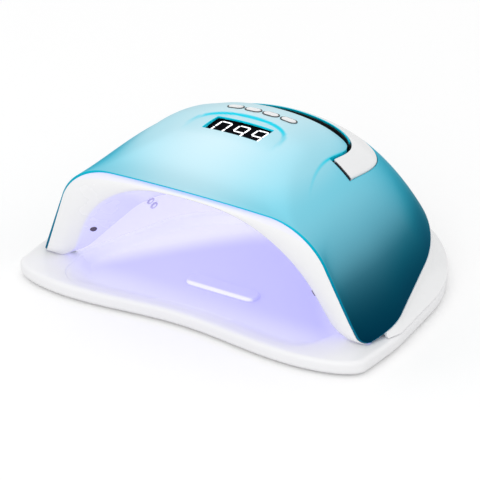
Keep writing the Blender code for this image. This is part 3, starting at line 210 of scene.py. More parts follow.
# Housing, bezel and reflector
HOUSING_FRONT_Y = -0.0580
HOUSING_WAIST = 0.0026
WAIST_BAND = 0.0200
HOUSING_HUB_Y = -0.0060
HOUSING_COLUMNS = 161
HOUSING_LEVELS = 22
PARTING_TRIES = 5
MOUTH_Y = -0.0694
MOUTH_LEAN = -12.0
MOUTH = (0.0901, 0.0687, 65.3, 0.0744, 0.2170)
THROAT_Y = -0.0640
THROAT_LEAN = 5.0
THROAT = (0.0886, 0.0580, 46.0, 0.0700, 0.1200)
BEZEL_SWELL = 0.0016
LIP_SHOW = 0.0014
LIP_THICK = 0.0004
LIP_GAP = 0.0003
HEEL_REACH = 0.0020
FOOT_FLARE = 0.0060
FOOT_FLARE_TALL = 0.0100
BEZEL_STATIONS = 181
BEZEL_FACE = (0.12, 0.86, 9)
EDGE_COUNTS = (24, 30, 30)
BEZEL_EASE = 0.6
MOUTH_ROUND = 0.0014
MOUTH_STEPS = 6
REFLECTOR_Y = -0.0615
REFLECTOR_HALF = 0.0906
REFLECTOR_LEAN = (5.0, 32.0, 60.0, 90.0)
REFLECTOR_REACH = (0.0610, 0.0780, 0.0900, 0.1060)
REFLECTOR_LEG = (54.0, 56.0, 62.0, 72.0)
REFLECTOR_FILLET = (0.0700, 0.0680, 0.0600, 0.0520)
REFLECTOR_CROWN = (0.0950, 0.0950, 0.0920, 0.0820)
REFLECTOR_COUNTS = (8, 16, 16)
REFLECTOR_ROWS = 71
STRIP_ACROSS = (-0.62, 0.62, 0.0)
BEADS_PER_STRIP = 7
BEAD_FRONT_AT = 0.16
BEAD_REAR_AT = 0.76
BEAD_COUNTS = (10, 16, 16)
BEAD_NUDGE = 0.01
BEAD_RADIUS = 0.0029
BEAD_PROUD = 0.0018
BEAD_STEPS = 6
BEAD_ROOT = -0.0010
BEAD_TIP = 0.0002
COLLAR_WIDE = 0.0011
COLLAR_ROOT = -0.0005
COLLAR_TALL = 0.0004
COLLAR_FLOOR = 0.0001
COLLAR_REST = 0.0002
COLLAR_SOFT = 0.0003

# Tray
TRAY_BOTTOM_Z = 0.0012
TRAY_TOP_Z = 0.0097
TRAY_FLOOR_Z = 0.0036
TRAY_FRONT_Y = -0.0990
TRAY_SCOOP = 0.0060
TRAY_CORNER_X = 0.0715
TRAY_CORNER_Y = -0.0820
TRAY_SIDE_X = 0.1160
TRAY_RIM = 0.0050
TRAY_SLOPE_FRONT = 0.0190
TRAY_SLOPE_SIDE = 0.0040
TRAY_ARM_REST_X = 0.0870
TRAY_REST_CORNER = 0.0200
TRAY_SLOPE_FROM_Y = -0.0510
TRAY_SLOPE_FULL_Y = -0.0860
TRAY_LOW_ROUND = 0.0030
TRAY_TOP_ROUND = 0.0026
TRAY_ROUND_STEPS = 6
TRAY_DISH_LOOPS = 13
TRAY_REAR_INSET = 0.0020
TRAY_LIP = 0.0008
BAR_Y = -0.0460
BAR_LONG = 0.0480
BAR_WIDE = 0.0120
BAR_TALL = 0.0022
BAR_ROUND = 0.0012
TRAY_LIP_EASE = 0.0003
TRAY_LIP_DROP = 0.0001
MAGNET_RADIUS = 0.0040
TRAY_FRONT_POINTS = 40
TRAY_CORNER_POINTS = 24
TRAY_SIDE_POINTS = 12
TRAY_REAR_POINTS = 80

# Screws, feet and inlet
SCREW_HEAD = 0.0028
SCREW_SHANK = 0.0012
SCREW_LONG = 0.0050
SCREW_HEAD_TALL = 0.0012
SCREW_SOFT = (0.0005, 0.0004)
SLOT_HALF_LONG = 0.0016
SLOT_HALF_WIDE = 0.0003
SLOT_LEVELS = (-0.0008, 0.0004)
FOOT_RADIUS = 0.0065
FOOT_SOFT = 0.0005
FOOT_EASED = 0.0002
SOLE_RIM = 0.0014
SOLE_DEEP = 0.0003
JACK_RADIUS = 0.0048
JACK_LONG = 0.0130
JACK_FLANGE_RADIUS = 0.0066
JACK_FLANGE_THICK = 0.0012
JACK_BORE_RADIUS = 0.0030
JACK_BORE_DEEP = 0.0085
JACK_PIN_RADIUS = 0.0010
JACK_PIN_BACK = 0.0015
JACK_PIN_SOFT = (0.0002, 0.0003)
JACK_SOFT = 0.0003

# Studio light
WORLD_LIGHT = 0.88
FLOOR_PALE = 0.86
FLOOR_TOP_UP = 0.16
FLOOR_ROUGH = 0.9
FLOOR_HALF = 3.0
VIEW_END = 20.0
STUDIO_LAMPS = (
    ("key_lamp", (-0.45, 0.45, 1.30), (0.0, -0.02, 0.04), 1.0, 1.3),
    ("fill_lamp", (0.30, -1.20, 0.80), (0.0, -0.02, 0.04), 4.0, 1.2),
)

# Shapes shared by the pieces

def bezier(pulls, at):
    """Cubic Bezier value through four pulls."""
    a, b, c, d = pulls
    back = 1.0 - at
    return a * back**3 + 3.0 * b * at * back**2 + 3.0 * c * at**2 * back + d * at**3


def smooth(value):
    """Soft step from 0 to 1."""
    value = np.clip(value, 0.0, 1.0)
    return value * value * (3.0 - 2.0 * value)


def arch(half, reach, leg, fillet, crown, counts):
    """Half section from the foot (half, 0) to the top (0, reach): leg, fillet and crown arc."""
    leg = math.radians(leg)
    least_crown = (half * math.sin(leg) - reach * math.cos(leg)) / (1.0 - math.cos(leg))
    crown = max(crown, least_crown * CROWN_ROOM)
    fillet = min(fillet, crown * FILLET_MOST)
    foot = np.array((half, 0.0))
    centre = np.array((0.0, reach - crown))
    rise = np.array((-math.cos(leg), math.sin(leg)))
    inward = np.array((-math.sin(leg), -math.cos(leg)))
    leg_run = -1.0
    bend = foot
    while leg_run < LEG_LEAST or bend[0] < CROWN_LEAST:
        start = foot + inward * fillet
        away = start - centre
        middle = float(away @ rise)
        rest = float(away @ away) - (crown - fillet) ** 2
        leg_run = math.sqrt(max(middle * middle - rest, 0.0)) - middle
        bend = start + rise * leg_run
        leg_top = bend - inward * fillet
        fillet_used = fillet
        fillet *= FILLET_STEP
    fillet = fillet_used
    turn_on = math.atan2(*(bend - centre)[::-1])
    turn_off = math.atan2(-inward[1], -inward[0])
    straight = [foot + (leg_top - foot) * i / counts[0] for i in range(counts[0])]
    angles = [turn_off + (turn_on - turn_off) * i / counts[1] for i in range(counts[1])]
    shoulder = [bend + fillet * np.array((math.cos(a), math.sin(a))) for a in angles]
    angles = [turn_on + (math.pi / 2 - turn_on) * i / counts[2] for i in range(counts[2] + 1)]
    crest = [centre + crown * np.array((math.cos(a), math.sin(a))) for a in angles]
    return np.array(straight + shoulder + crest)


def unit(vectors):
    """Vectors brought to length one."""
    return vectors / np.linalg.norm(vectors, axis=-1, keepdims=True)


def mirrored(right):
    """Line from the right foot to the middle, carried on to the left foot."""
    return np.concatenate((right, right[::-1][1:] * np.array((-1.0, 1.0, 1.0))))


def quarter(steps):
    """Angles of a quarter turn at equal steps."""
    return [math.pi / 2 * i / steps for i in range(steps + 1)]


def bent(start, pull, end, at):
    """Point of a curve that leaves start and reaches end, pulled towards a third point."""
    return start * (1 - at) ** 2 + pull * 2 * at * (1 - at) + end * at * at


def stand(section, foot_y, lean, base_z=LAMP_BASE_Z):
    """Stand a half section up in space and mirror it to a whole arch, right foot first."""
    lean = math.radians(lean)
    across, up = section.T
    return mirrored(np.stack((across, foot_y + up * math.sin(lean), base_z + up * math.cos(lean)), axis=1))


def skin_arch(at, counts):
    """Whole arch of the lamp skin at a share of the fan."""
    left = 1.0 - min(at / POLE_AT, 1.0)
    half = BODY_HALF - (BODY_HALF - FRONT_HALF) * left**HALF_EASE
    foot_y = POLE_Y - (POLE_Y - FRONT_Y) * left**FOOT_EASE
    crown = math.exp(bezier([math.log(r) for r in SKIN_CROWN], at))
    section = arch(half, bezier(SKIN_REACH, at), bezier(SKIN_LEG, at), bezier(SKIN_FILLET, at), crown, counts)
    return stand(section, foot_y, bezier(SKIN_LEAN, at))


def reflector_arch(at, counts):
    """Whole arch of the reflector's inner face at a share of its fan."""
    section = arch(REFLECTOR_HALF, bezier(REFLECTOR_REACH, at), bezier(REFLECTOR_LEG, at),
                   bezier(REFLECTOR_FILLET, at), bezier(REFLECTOR_CROWN, at), counts)
    return stand(section, REFLECTOR_Y, bezier(REFLECTOR_LEAN, at), LAMP_BASE_Z + GAP)


def grid_faces(rows, cols):
    """Quads of a rows by cols grid of points."""
    starts = [r * cols + c for r in range(rows - 1) for c in range(cols - 1)]
    return [(a, a + cols, a + cols + 1, a + 1) for a in starts]


def tree_of(grid):
    """Search tree of a grid, for finding places on a surface."""
    rows, cols = grid.shape[:2]
    points = [Vector(p) for p in grid.reshape(-1, 3)]
    return BVHTree.FromPolygons(points, grid_faces(rows, cols))


SKIN = tree_of(np.array([skin_arch(at, SKIN_COUNTS) for at in np.linspace(0.0, 1.0, SKIN_ROWS)]))


def on_skin(x, y):
    """Point and outward normal of the lamp skin above a place in plan."""
    point, normal, _, _ = SKIN.ray_cast(Vector((x, y, HIGH)), Vector((0.0, 0.0, -1.0)))
    if normal.z < 0.0:
        normal.negate()
    return point, normal


def at_share(points, share):
    """Point at a share of a polyline's length."""
    points = np.asarray(points)
    steps = np.linalg.norm(np.diff(points, axis=0), axis=1)
    run = np.concatenate(((0.0,), np.cumsum(steps)))
    return np.array([np.interp(share * run[-1], run, points[:, k]) for k in range(points.shape[1])])


def respaced(points, count):
    """The same polyline with points at equal steps."""
    return np.array([at_share(points, i / (count - 1)) for i in range(count)])


def inset(points, depth):
    """Move a half section inwards (towards the axis and the base) by a depth."""
    along = unit(np.gradient(points, axis=0))
    return points + np.stack((-along[:, 1], along[:, 0]), axis=1) * depth


def frame_at(point, up):
    """Matrix whose local Z points along up, with local X level."""
    up = Vector(up).normalized()
    across = Vector((1.0, 0.0, 0.0))
    if abs(up.x) > SIDEWAYS:
        across = Vector((0.0, 1.0, 0.0))
    side = up.cross(across).normalized()
    turn = Matrix((side.cross(up), side, up)).transposed()
    return Matrix.Translation(point) @ turn.to_4x4()


def stadium(length, width, z, steps=15):
    """Ring with straight sides along X and round ends."""
    radius = width / 2.0
    run = length / 2.0 - radius
    ring = []
    for centre, start in ((run, -0.5), (-run, 0.5)):
        for i in range(steps):
            a = math.pi * (start + i / (steps - 1))
            ring.append((centre + radius * math.cos(a), radius * math.sin(a), z))
    return ring


def pillow(length, width, top, radius, steps=5):
    """Stadium rings that round an upper edge over, from its side to its top."""
    rings = []
    for a in quarter(steps):
        slim = 2.0 * radius * (1.0 - math.cos(a))
        rings.append(stadium(length - slim, width - slim, top - radius * (1.0 - math.sin(a))))
    return rings


def bow_turns(steps):
    """Turns round a U, close together along its arms and along its strap."""
    shares = np.linspace(0.0, 1.0, steps + 1)
    eased = shares**BOW_EASE / (shares**BOW_EASE + (1.0 - shares) ** BOW_EASE)
    half = list(math.pi / 2 * eased)
    return half + [math.pi - a for a in half[-2::-1]]


def bow(half_x, front_y, rear_y, bend, steps=40):
    """Plan line of a U: two arms along Y joined by a strap, as half a superellipse."""
    line = []
    for a in bow_turns(steps):
        x = half_x * math.copysign(abs(math.cos(a)) ** (2.0 / bend), math.cos(a))
        y = front_y + (rear_y - front_y) * max(math.sin(a), 0.0) ** (2.0 / bend)
        line.append((x, y))
    return np.array(line)


# Making meshes and dressing the bodies

def put(name, mesh, finish):
    """Object of a finished mesh, shaded smooth between its sharp edges."""
    mesh.materials.clear()
    mesh.materials.append(finish)
    mesh.shade_smooth()
    mesh.set_sharp_from_angle(angle=SHARP_ANGLE)
    made = bpy.data.objects.new(name, mesh)
    bpy.context.scene.collection.objects.link(made)
    return made


def closed_piece(name, verts, faces, finish):
    """Closed piece from points and faces, doubles merged and faces turned outwards."""
    mesh = bpy.data.meshes.new(name)
    mesh.from_pydata([tuple(v) for v in verts], [], [tuple(f) for f in faces])
    shape = bmesh.new()
    shape.from_mesh(mesh)
    bmesh.ops.remove_doubles(shape, verts=shape.verts, dist=SAME_POINT)
    bmesh.ops.recalc_face_normals(shape, faces=shape.faces)
    shape.to_mesh(mesh)
    shape.free()
    return put(name, mesh, finish)


def lofted(name, rings, finish, place=None, closed=False):
    """Closed piece through a stack of equal rings, capped at its ends or closed on itself."""
    rings = [np.asarray(ring) for ring in rings]
    count = len(rings[0])
    verts = [Vector(p) for ring in rings for p in ring]
    if place is not None:
        verts = [place @ p for p in verts]
    levels = len(rings)
    faces = []
    for level in range(levels if closed else levels - 1):
        low = level * count
        high = (level + 1) % levels * count
        for i in range(count):
            j = (i + 1) % count
            faces.append((low + i, low + j, high + j, high + i))
    if not closed:
        faces.append(tuple(range(count))[::-1])
        faces.append(tuple(range((levels - 1) * count, levels * count)))
    return closed_piece(name, verts, faces, finish)


def turned(name, profile, place, finish, sides=48):
    """Turned piece from a profile of (radius, height) that starts and ends on its axis."""
    rings = []
    for radius, z in profile[1:-1]:
        turns = [2.0 * math.pi * i / sides for i in range(sides)]
        rings.append([(radius * math.cos(a), radius * math.sin(a), z) for a in turns])
    return lofted(name, rings, finish, place)


def joined(piece, tool, operation):
    """Add or cut away another shape, then drop that shape."""
    step = piece.modifiers.new("join", "BOOLEAN")
    step.operation = operation
    step.solver = "EXACT"
    step.object = tool
    settle(piece)
    bpy.data.objects.remove(tool, do_unlink=True)


def settle(piece):
    """Turn a piece's modifiers into its plain mesh."""
    graph = bpy.context.evaluated_depsgraph_get()
    mesh = bpy.data.meshes.new_from_object(piece.evaluated_get(graph), depsgraph=graph)
    piece.modifiers.clear()
    piece.data = mesh
    mesh.shade_smooth()
    mesh.set_sharp_from_angle(angle=SHARP_ANGLE)


def dress(piece, body, slot, *nodes):
    """Ride a piece on its body and hide the solids that it stands for; the slot is not used."""
    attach(piece, body)
    if nodes:
        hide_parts(*nodes)
    return piece


def sheet_of(grid):
    """Open sheet of a grid of points."""
    rows, cols = grid.shape[:2]
    mesh = bpy.data.meshes.new("sheet")
    mesh.from_pydata([tuple(p) for p in grid.reshape(-1, 3)], [], grid_faces(rows, cols))
    shape = bmesh.new()
    shape.from_mesh(mesh)
    bpy.data.meshes.remove(mesh)
    bmesh.ops.remove_doubles(shape, verts=shape.verts, dist=SHEET_MERGE)
    bmesh.ops.dissolve_degenerate(shape, edges=shape.edges, dist=SAME_POINT)
    return shape


def slice_faces(shape, faces, point, normal):
    """Slice some faces of a sheet with a plane; gives the faces that result."""
    edges = {e for f in faces for e in f.edges}
    verts = {v for f in faces for v in f.verts}
    geometry = list(verts) + list(edges) + list(faces)
    result = bmesh.ops.bisect_plane(shape, geom=geometry, dist=SNAP, plane_co=point, plane_no=normal)
    return [part for part in result["geom"] if isinstance(part, bmesh.types.BMFace)]


def trim(shape, point, normal, **cleared):
    """Slice a whole sheet with a plane and clear one side of it."""
    whole = list(shape.verts) + list(shape.edges) + list(shape.faces)
    bmesh.ops.bisect_plane(shape, geom=whole, dist=SNAP, plane_co=point, plane_no=normal, **cleared)


def reaches(face, low, high):
    """True where a face comes into a box in plan."""
    xs = [v.co.x for v in face.verts]
    ys = [v.co.y for v in face.verts]
    return max(xs) > low.x and min(xs) < high.x and max(ys) > low.y and min(ys) < high.y


def inside_loop(loop, point):
    """True where a plan point lies inside a closed loop."""
    odd = False
    for a, b in zip(loop, loop[1:] + loop[:1]):
        if (a.y > point.y) != (b.y > point.y):
            odd ^= point.x < a.x + (b.x - a.x) * (point.y - a.y) / (b.y - a.y)
    return odd


def plan_box(points, room):
    """Low and high corner of some plan points, with room all round."""
    room = Vector((room, room, 0.0))
    low = Vector((min(p.x for p in points), min(p.y for p in points), 0.0))
    high = Vector((max(p.x for p in points), max(p.y for p in points), 0.0))
    return low - room, high + room


def pierce(shape, loop):
    """Cut an upright hole through a sheet along a closed plan loop."""
    loop = [Vector((x, y, 0.0)) for x, y in loop]
    low, high = plan_box(loop, 2.0 * PLAIN_STEP)
    region = {f for f in shape.faces if f.normal.z > UPWARD_LEAST and reaches(f, low, high)}
    for a, b in zip(loop, loop[1:] + loop[:1]):
        if (b - a).length < SNAP:
            continue
        side = Vector((b.y - a.y, a.x - b.x, 0.0)).normalized()
        low, high = plan_box((a, b), SNAP)
        near = [f for f in region if reaches(f, low, high)]
        region.update(slice_faces(shape, near, a, side))
        region = {f for f in region if f.is_valid}
    gone = [f for f in region if inside_loop(loop, f.calc_center_median())]
    bmesh.ops.delete(shape, geom=gone, context="FACES")


def free_loops(shape):
    """Loops of the edges that border one face only."""
    return [edge.link_loops[0] for edge in shape.edges if len(edge.link_loops) == 1]


def edge_outs(shape):
    """Direction out of the sheet at each vertex of its free edges."""
    outs = {}
    for loop in free_loops(shape):
        a, b = loop.vert, loop.link_loop_next.vert
        normal = (a.normal + b.normal).normalized()
        out = (b.co - a.co).cross(normal).normalized()
        outs.setdefault(a, []).append(out)
        outs.setdefault(b, []).append(out)
    for vert, both in outs.items():
        total = sum(both, Vector())
        outs[vert] = total * (2.0 / max(total.length_squared, 1.0))
    return outs


def moulded_shell(name, shape, wall, finish, edge_round, back_of=None):
    """Close a sheet into a shell of a given wall, with its free edges rounded over."""
    shape.normal_update()
    shape.verts.index_update()
    count = len(shape.verts)
    outs = edge_outs(shape)
    verts = [v.co.copy() for v in shape.verts]
    for v in shape.verts:
        back = back_of(v) if back_of else v.co - v.normal * wall
        verts.append(back + outs.get(v, Vector()) * edge_round)
    faces = [[v.index for v in f.verts] for f in shape.faces]
    faces += [[count + v.index for v in reversed(f.verts)] for f in shape.faces]
    chains = {}
    for vert, out in outs.items():
        chain = [vert.index]
        for a in quarter(EDGE_STEPS)[1:]:
            chain.append(len(verts))
            verts.append(vert.co + out * (edge_round * math.sin(a))
                         - vert.normal * (edge_round * (1.0 - math.cos(a))))
        chain.append(count + vert.index)
        chains[vert] = chain
    for loop in free_loops(shape):
        first, second = chains[loop.vert], chains[loop.link_loop_next.vert]
        for k in range(len(first) - 1):
            faces.append((second[k], first[k], first[k + 1], second[k + 1]))
    shape.free()
    mesh = bpy.data.meshes.new(name)
    mesh.from_pydata([tuple(v) for v in verts], [], faces)
    return put(name, mesh, finish)


# Finishes

def set_inputs(tree, node, values):
    """Give a node's inputs their values, or links where the values are sockets."""
    for key, value in values.items():
        socket = node.inputs[key]
        if isinstance(value, bpy.types.NodeSocket):
            tree.links.new(value, socket)
        elif socket.type == "RGBA":
            socket.default_value = (*value, 1.0)
        else:
            socket.default_value = value


def add_node(tree, kind, values=None, **settings):
    """Node of a kind, with its settings and with its inputs given."""
    made = tree.nodes.new(kind)
    for key, value in settings.items():
        setattr(made, key, value)
    set_inputs(tree, made, values or {})
    return made


def math_of(tree, operation, *values):
    """Result of one operation on numbers or value sockets."""
    return add_node(tree, "ShaderNodeMath", dict(enumerate(values)), operation=operation).outputs["Value"]


def vector_of(tree, operation, *values):
    """Node of one operation on vectors or vector sockets."""
    return add_node(tree, "ShaderNodeVectorMath", dict(enumerate(values)), operation=operation)


def axes_of(tree, vector):
    """Sockets of a vector's X, Y and Z."""
    return add_node(tree, "ShaderNodeSeparateXYZ", {"Vector": vector}).outputs


def step_mask(tree, source, edge=(0.0, 1.0), kind="SMOOTHSTEP", ends=(0.0, 1.0)):
    """Value that goes from one end to the other while the source goes from one edge value to the other."""
    values = {"Value": source, "From Min": edge[0], "From Max": edge[1], "To Min": ends[0], "To Max": ends[1]}
    return add_node(tree, "ShaderNodeMapRange", values, interpolation_type=kind).outputs["Result"]


def mix_colour(tree, factor, first, second):
    """Mix two colours or colour sockets by a factor socket."""
    mix = add_node(tree, "ShaderNodeMix", {"Factor": factor}, data_type="RGBA")
    colours = [number for number, socket in enumerate(mix.inputs) if socket.type == "RGBA"]
    set_inputs(tree, mix, dict(zip(colours, (first, second))))
    return next(socket for socket in mix.outputs if socket.type == "RGBA")


def ramp_of(tree, source, stops):
    """Colour along a ramp through (place, colour) stops, driven by a value socket."""
    ramp = add_node(tree, "ShaderNodeValToRGB", {"Fac": source})
    elements = ramp.color_ramp.elements
    while len(elements) < len(stops):
        elements.new(0.5)
    for element, (place, colour) in zip(elements, stops):
        element.position = place
        element.color = (*colour, 1.0)
    ramp.color_ramp.interpolation = "B_SPLINE"
    return ramp.outputs["Color"]


def new_group(name, kind, inputs, outputs):
    """Empty node group with named inputs (kind and value) and outputs (kind)."""
    group = bpy.data.node_groups.new(name, kind)
    for label, (socket_kind, value) in inputs.items():
        socket = group.interface.new_socket(label, in_out="INPUT", socket_type="NodeSocket" + socket_kind)
        if value is not None:
            socket.default_value = value
    for label, socket_kind in outputs.items():
        group.interface.new_socket(label, in_out="OUTPUT", socket_type="NodeSocket" + socket_kind)
    return group, group.nodes.new("NodeGroupInput"), group.nodes.new("NodeGroupOutput")


def moulded_grain_group():
    """Slow mottle, fine peel and a changing roughness, as on moulded plastic."""
    group, source, sink = new_group(
        "moulded_grain", "ShaderNodeTree",
        {"Vector": ("Vector", None), "Mottle Scale": ("Float", 30.0), "Peel Scale": ("Float", 900.0),
         "Rough Low": ("Float", 0.2), "Rough High": ("Float", 0.3)},
        {"Mottle": "Float", "Roughness": "Float", "Height": "Float"})
    given = source.outputs
    mottle = add_node(group, "ShaderNodeTexNoise", {"Vector": given["Vector"], "Scale": given["Mottle Scale"],
                                                    "Detail": 4.0, "Roughness": 0.55})
    peel = add_node(group, "ShaderNodeTexNoise", {"Vector": given["Vector"], "Scale": given["Peel Scale"],
                                                  "Detail": 2.0, "Roughness": 0.5})
    ends = (given["Rough Low"], given["Rough High"])
    rough = step_mask(group, mottle.outputs["Fac"], (0.3, 0.7), "LINEAR", ends)
    set_inputs(group, sink, {"Mottle": mottle.outputs["Fac"], "Roughness": rough,
                             "Height": peel.outputs["Fac"]})
    return group


def edge_rub_group():
    """Mask of the edges that hands rub, broken up by noise."""
    group, source, sink = new_group(
        "edge_rub", "ShaderNodeTree",
        {"Vector": ("Vector", None), "Edge From": ("Float", 0.53), "Edge To": ("Float", 0.60)},
        {"Mask": "Float"})
    given = source.outputs
    shape = add_node(group, "ShaderNodeNewGeometry")
    edge = step_mask(group, shape.outputs["Pointiness"], (given["Edge From"], given["Edge To"]), "LINEAR")
    broken = add_node(group, "ShaderNodeTexNoise", {"Vector": given["Vector"], "Scale": 160.0, "Detail": 3.0})
    set_inputs(group, sink, {"Mask": math_of(group, "MULTIPLY", edge, broken.outputs["Fac"])})
    return group


GRAIN = moulded_grain_group()
RUB = edge_rub_group()
PEEL_DEEP = 0.0001
COAT_ROUGH = 0.08
GLOSS_COAT = 0.35
SATIN_COAT = 0.15
RESIN_COAT = 0.4
GLOSS_GRAIN = ((0.20, 0.28), 22.0, 1200.0, 0.03)
TRAY_GRAIN = ((0.28, 0.38), 18.0, 1500.0, 0.05)
PLATE_GRAIN = ((0.30, 0.36), 14.0, 1400.0, 0.02)
UNLIT = (0.0, 0.0, 0.0)
RUBBED_WHITE = (0.94, 0.94, 0.94)
PURE_WHITE = (1.0, 1.0, 1.0)


def new_finish(name):
    """Empty node material with its tree, shader and object coordinates."""
    made = bpy.data.materials.new(name)
    made.use_nodes = True
    tree = made.node_tree
    coords = add_node(tree, "ShaderNodeTexCoord")
    return made, tree, tree.nodes["Principled BSDF"], coords.outputs["Object"]


def add_grain(tree, shader, vector, rough, mottle_scale, peel_scale, peel_strength):
    """Place the grain group: roughness and bump go to the shader; gives the mottle."""
    values = {"Vector": vector, "Mottle Scale": mottle_scale, "Peel Scale": peel_scale,
              "Rough Low": rough[0], "Rough High": rough[1]}
    grain = add_node(tree, "ShaderNodeGroup", values, node_tree=GRAIN)
    bump = add_node(tree, "ShaderNodeBump", {"Height": grain.outputs["Height"], "Strength": peel_strength,
                                             "Distance": PEEL_DEEP})
    set_inputs(tree, shader, {"Roughness": grain.outputs["Roughness"], "Normal": bump.outputs["Normal"]})
    return grain.outputs["Mottle"]


def moulded_base(name, tones, grain, worn=None):
    """Material of two close tones, peel and changing gloss, with rubbed edges if worn is given."""
    made, tree, shader, vector = new_finish(name)
    colour = mix_colour(tree, add_grain(tree, shader, vector, *grain), *tones)
    if worn:
        rub = add_node(tree, "ShaderNodeGroup", {"Vector": vector}, node_tree=RUB)
        colour = mix_colour(tree, rub.outputs["Mask"], colour, worn)
    return made, tree, shader, vector, colour


def coated(weight):
    """Shader values of a clear coat."""
    return {"Coat Weight": weight, "Coat Roughness": COAT_ROUGH}


def moulded_finish(name, tones, grain, worn, values):
    """Plastic, rubber or metal with rubbed edges and some plain shader values."""
    made, tree, shader, _, colour = moulded_base(name, tones, grain, worn)
    set_inputs(tree, shader, {"Base Color": colour, **values})
    return made


PLATE_STOPS = (
    (0.02, (0.000, 0.024, 0.056)),
    (0.12, (0.000, 0.036, 0.070)),
    (0.27, (0.003, 0.056, 0.095)),
    (0.42, (0.026, 0.140, 0.200)),
    (0.54, (0.115, 0.355, 0.455)),
    (0.65, (0.150, 0.460, 0.580)),
    (0.79, (0.225, 0.605, 0.735)),
    (0.88, (0.200, 0.620, 0.760)),
    (0.96, (0.320, 0.690, 0.810)),
)
# Painted shade: deeper, more saturated colours on steep edges, recess walls and steps, standing in for how
# light falls on them.
STEP_SHADE_STOPS = (
    (0.00, (0.000, 0.110, 0.200)),
    (0.45, (0.000, 0.220, 0.360)),
    (0.75, (0.000, 0.430, 0.590)),
    (1.00, (0.000, 0.680, 0.860)),
)
PLATE_LOW_Z = 0.010
PLATE_HIGH_Z = 0.096
PLATE_DRIFT = 0.008
PLATE_METAL = 0.92
STEP_SHADE_METAL = 0.30
PLATE_SPECULAR = 0.15
# Painted highlight: a pale patch over the front of the crown and round the keys, standing in for a studio
# lamp's reflection.
PAINTED_HIGHLIGHT_AT = (-0.005, -0.024, 0.090)
PAINTED_HIGHLIGHT_REACH = (0.067, 0.125, 0.075)
PAINTED_HIGHLIGHT_PALE = (0.66, 0.83, 0.89)
PAINTED_HIGHLIGHT_MOST = 0.92
EDGE_TINT = (0.13, 0.58, 0.71)
# Painted reflection: a paler specular tint on the top of the crown.
PAINTED_TOP_TINT = (0.95, 1.00, 1.00)
TOP_TINT_RUN = (0.083, 0.094)


def crease_shade_line(tree, x, y):
    """Mask of the painted shade line along the crease in front of each arm."""
    onward = math_of(tree, "MAXIMUM", math_of(tree, "SUBTRACT", CREASE_TOP_Y, y), 0.0)
    edge = math_of(tree, "MULTIPLY_ADD", math_of(tree, "POWER", onward, 2.0), CREASE_CURVE, CREASE_X)
    apart = math_of(tree, "SUBTRACT", math_of(tree, "ABSOLUTE", x), edge)
    near = step_mask(tree, math_of(tree, "ABSOLUTE", apart), (CREASE_BAND, 0.0))
    fore = step_mask(tree, y, (CREASE_END_Y, CREASE_TOP_Y), "LINEAR")
    aft = step_mask(tree, y, CREASE_REAR_Y[::-1], "LINEAR")
    return math_of(tree, "MULTIPLY", near, math_of(tree, "MULTIPLY", fore, aft))


def plated_teal():
    """Electroplated cover: colour runs from pale crown to petrol skirt, with painted shade in deeper colours
    on its edges, recess walls and steps, a painted highlight over the front of the crown and a paler painted
    reflection tint on the top.
    """
    made, tree, shader, vector = new_finish("plated_teal")
    add_grain(tree, shader, vector, *PLATE_GRAIN)
    x, y, z = axes_of(tree, vector)
    cloud = add_node(tree, "ShaderNodeTexNoise", {"Vector": vector, "Scale": 9.0, "Detail": 2.0})
    drift = math_of(tree, "MULTIPLY_ADD", cloud.outputs["Fac"], PLATE_DRIFT, z)
    height = step_mask(tree, drift, (PLATE_LOW_Z, PLATE_HIGH_Z), "LINEAR")
    plate = ramp_of(tree, height, PLATE_STOPS)
    painted_step_shade = ramp_of(tree, height, STEP_SHADE_STOPS)
    # Painted highlight: the colour turns pale inside an ellipsoid over the front of the crown.
    off = vector_of(tree, "SUBTRACT", vector, PAINTED_HIGHLIGHT_AT)
    share = vector_of(tree, "DIVIDE", off.outputs["Vector"], PAINTED_HIGHLIGHT_REACH)
    far = vector_of(tree, "LENGTH", share.outputs["Vector"])
    painted_highlight = step_mask(tree, far.outputs["Value"], (1.0, 0.0), ends=(0.0, PAINTED_HIGHLIGHT_MOST))
    # Painted shade on the steep faces, by the attribute set on the cover.
    deep = add_node(tree, "ShaderNodeAttribute", attribute_name="painted_step_shade").outputs["Fac"]
    face = mix_colour(tree, painted_highlight, plate, PAINTED_HIGHLIGHT_PALE)
    creased = mix_colour(tree, crease_shade_line(tree, x, y), face, painted_step_shade)
    set_inputs(tree, shader, {
        "Base Color": mix_colour(tree, deep, creased, painted_step_shade),
        "Metallic": step_mask(tree, deep, kind="LINEAR", ends=(PLATE_METAL, STEP_SHADE_METAL)),
        "Specular IOR Level": PLATE_SPECULAR,
        "Specular Tint": mix_colour(tree, step_mask(tree, z, TOP_TINT_RUN), EDGE_TINT, PAINTED_TOP_TINT),
    })
    return made


# Painted light: violet glow of the beads painted into the throat's colour and emission.
THROAT_PAINTED_LILAC = (0.66, 0.65, 0.96)
THROAT_GLOW_RUN = 0.0022
THROAT_GLOW = 0.24


def bezel_white():
    """Glossy white of the bezel, with the beads' violet light painted into its colour and glow behind its
    mouth edge.
    """
    tones = ((0.88, 0.883, 0.89), (0.91, 0.912, 0.92))
    made, tree, shader, vector, plain = moulded_base("bezel_white", tones, GLOSS_GRAIN, RUBBED_WHITE)
    lean = math.tan(math.radians(-MOUTH_LEAN))
    edge = MOUTH_Y + LAMP_BASE_Z * lean
    _, y, z = axes_of(tree, vector)
    upright = math_of(tree, "MULTIPLY_ADD", z, lean, y)
    behind = step_mask(tree, upright, (edge, edge + THROAT_GLOW_RUN), "LINEAR")
    set_inputs(tree, shader, {
        "Base Color": mix_colour(tree, behind, plain, THROAT_PAINTED_LILAC),
        "Emission Color": mix_colour(tree, behind, UNLIT, THROAT_PAINTED_LILAC),
        "Emission Strength": THROAT_GLOW, **coated(GLOSS_COAT),
    })
    return made


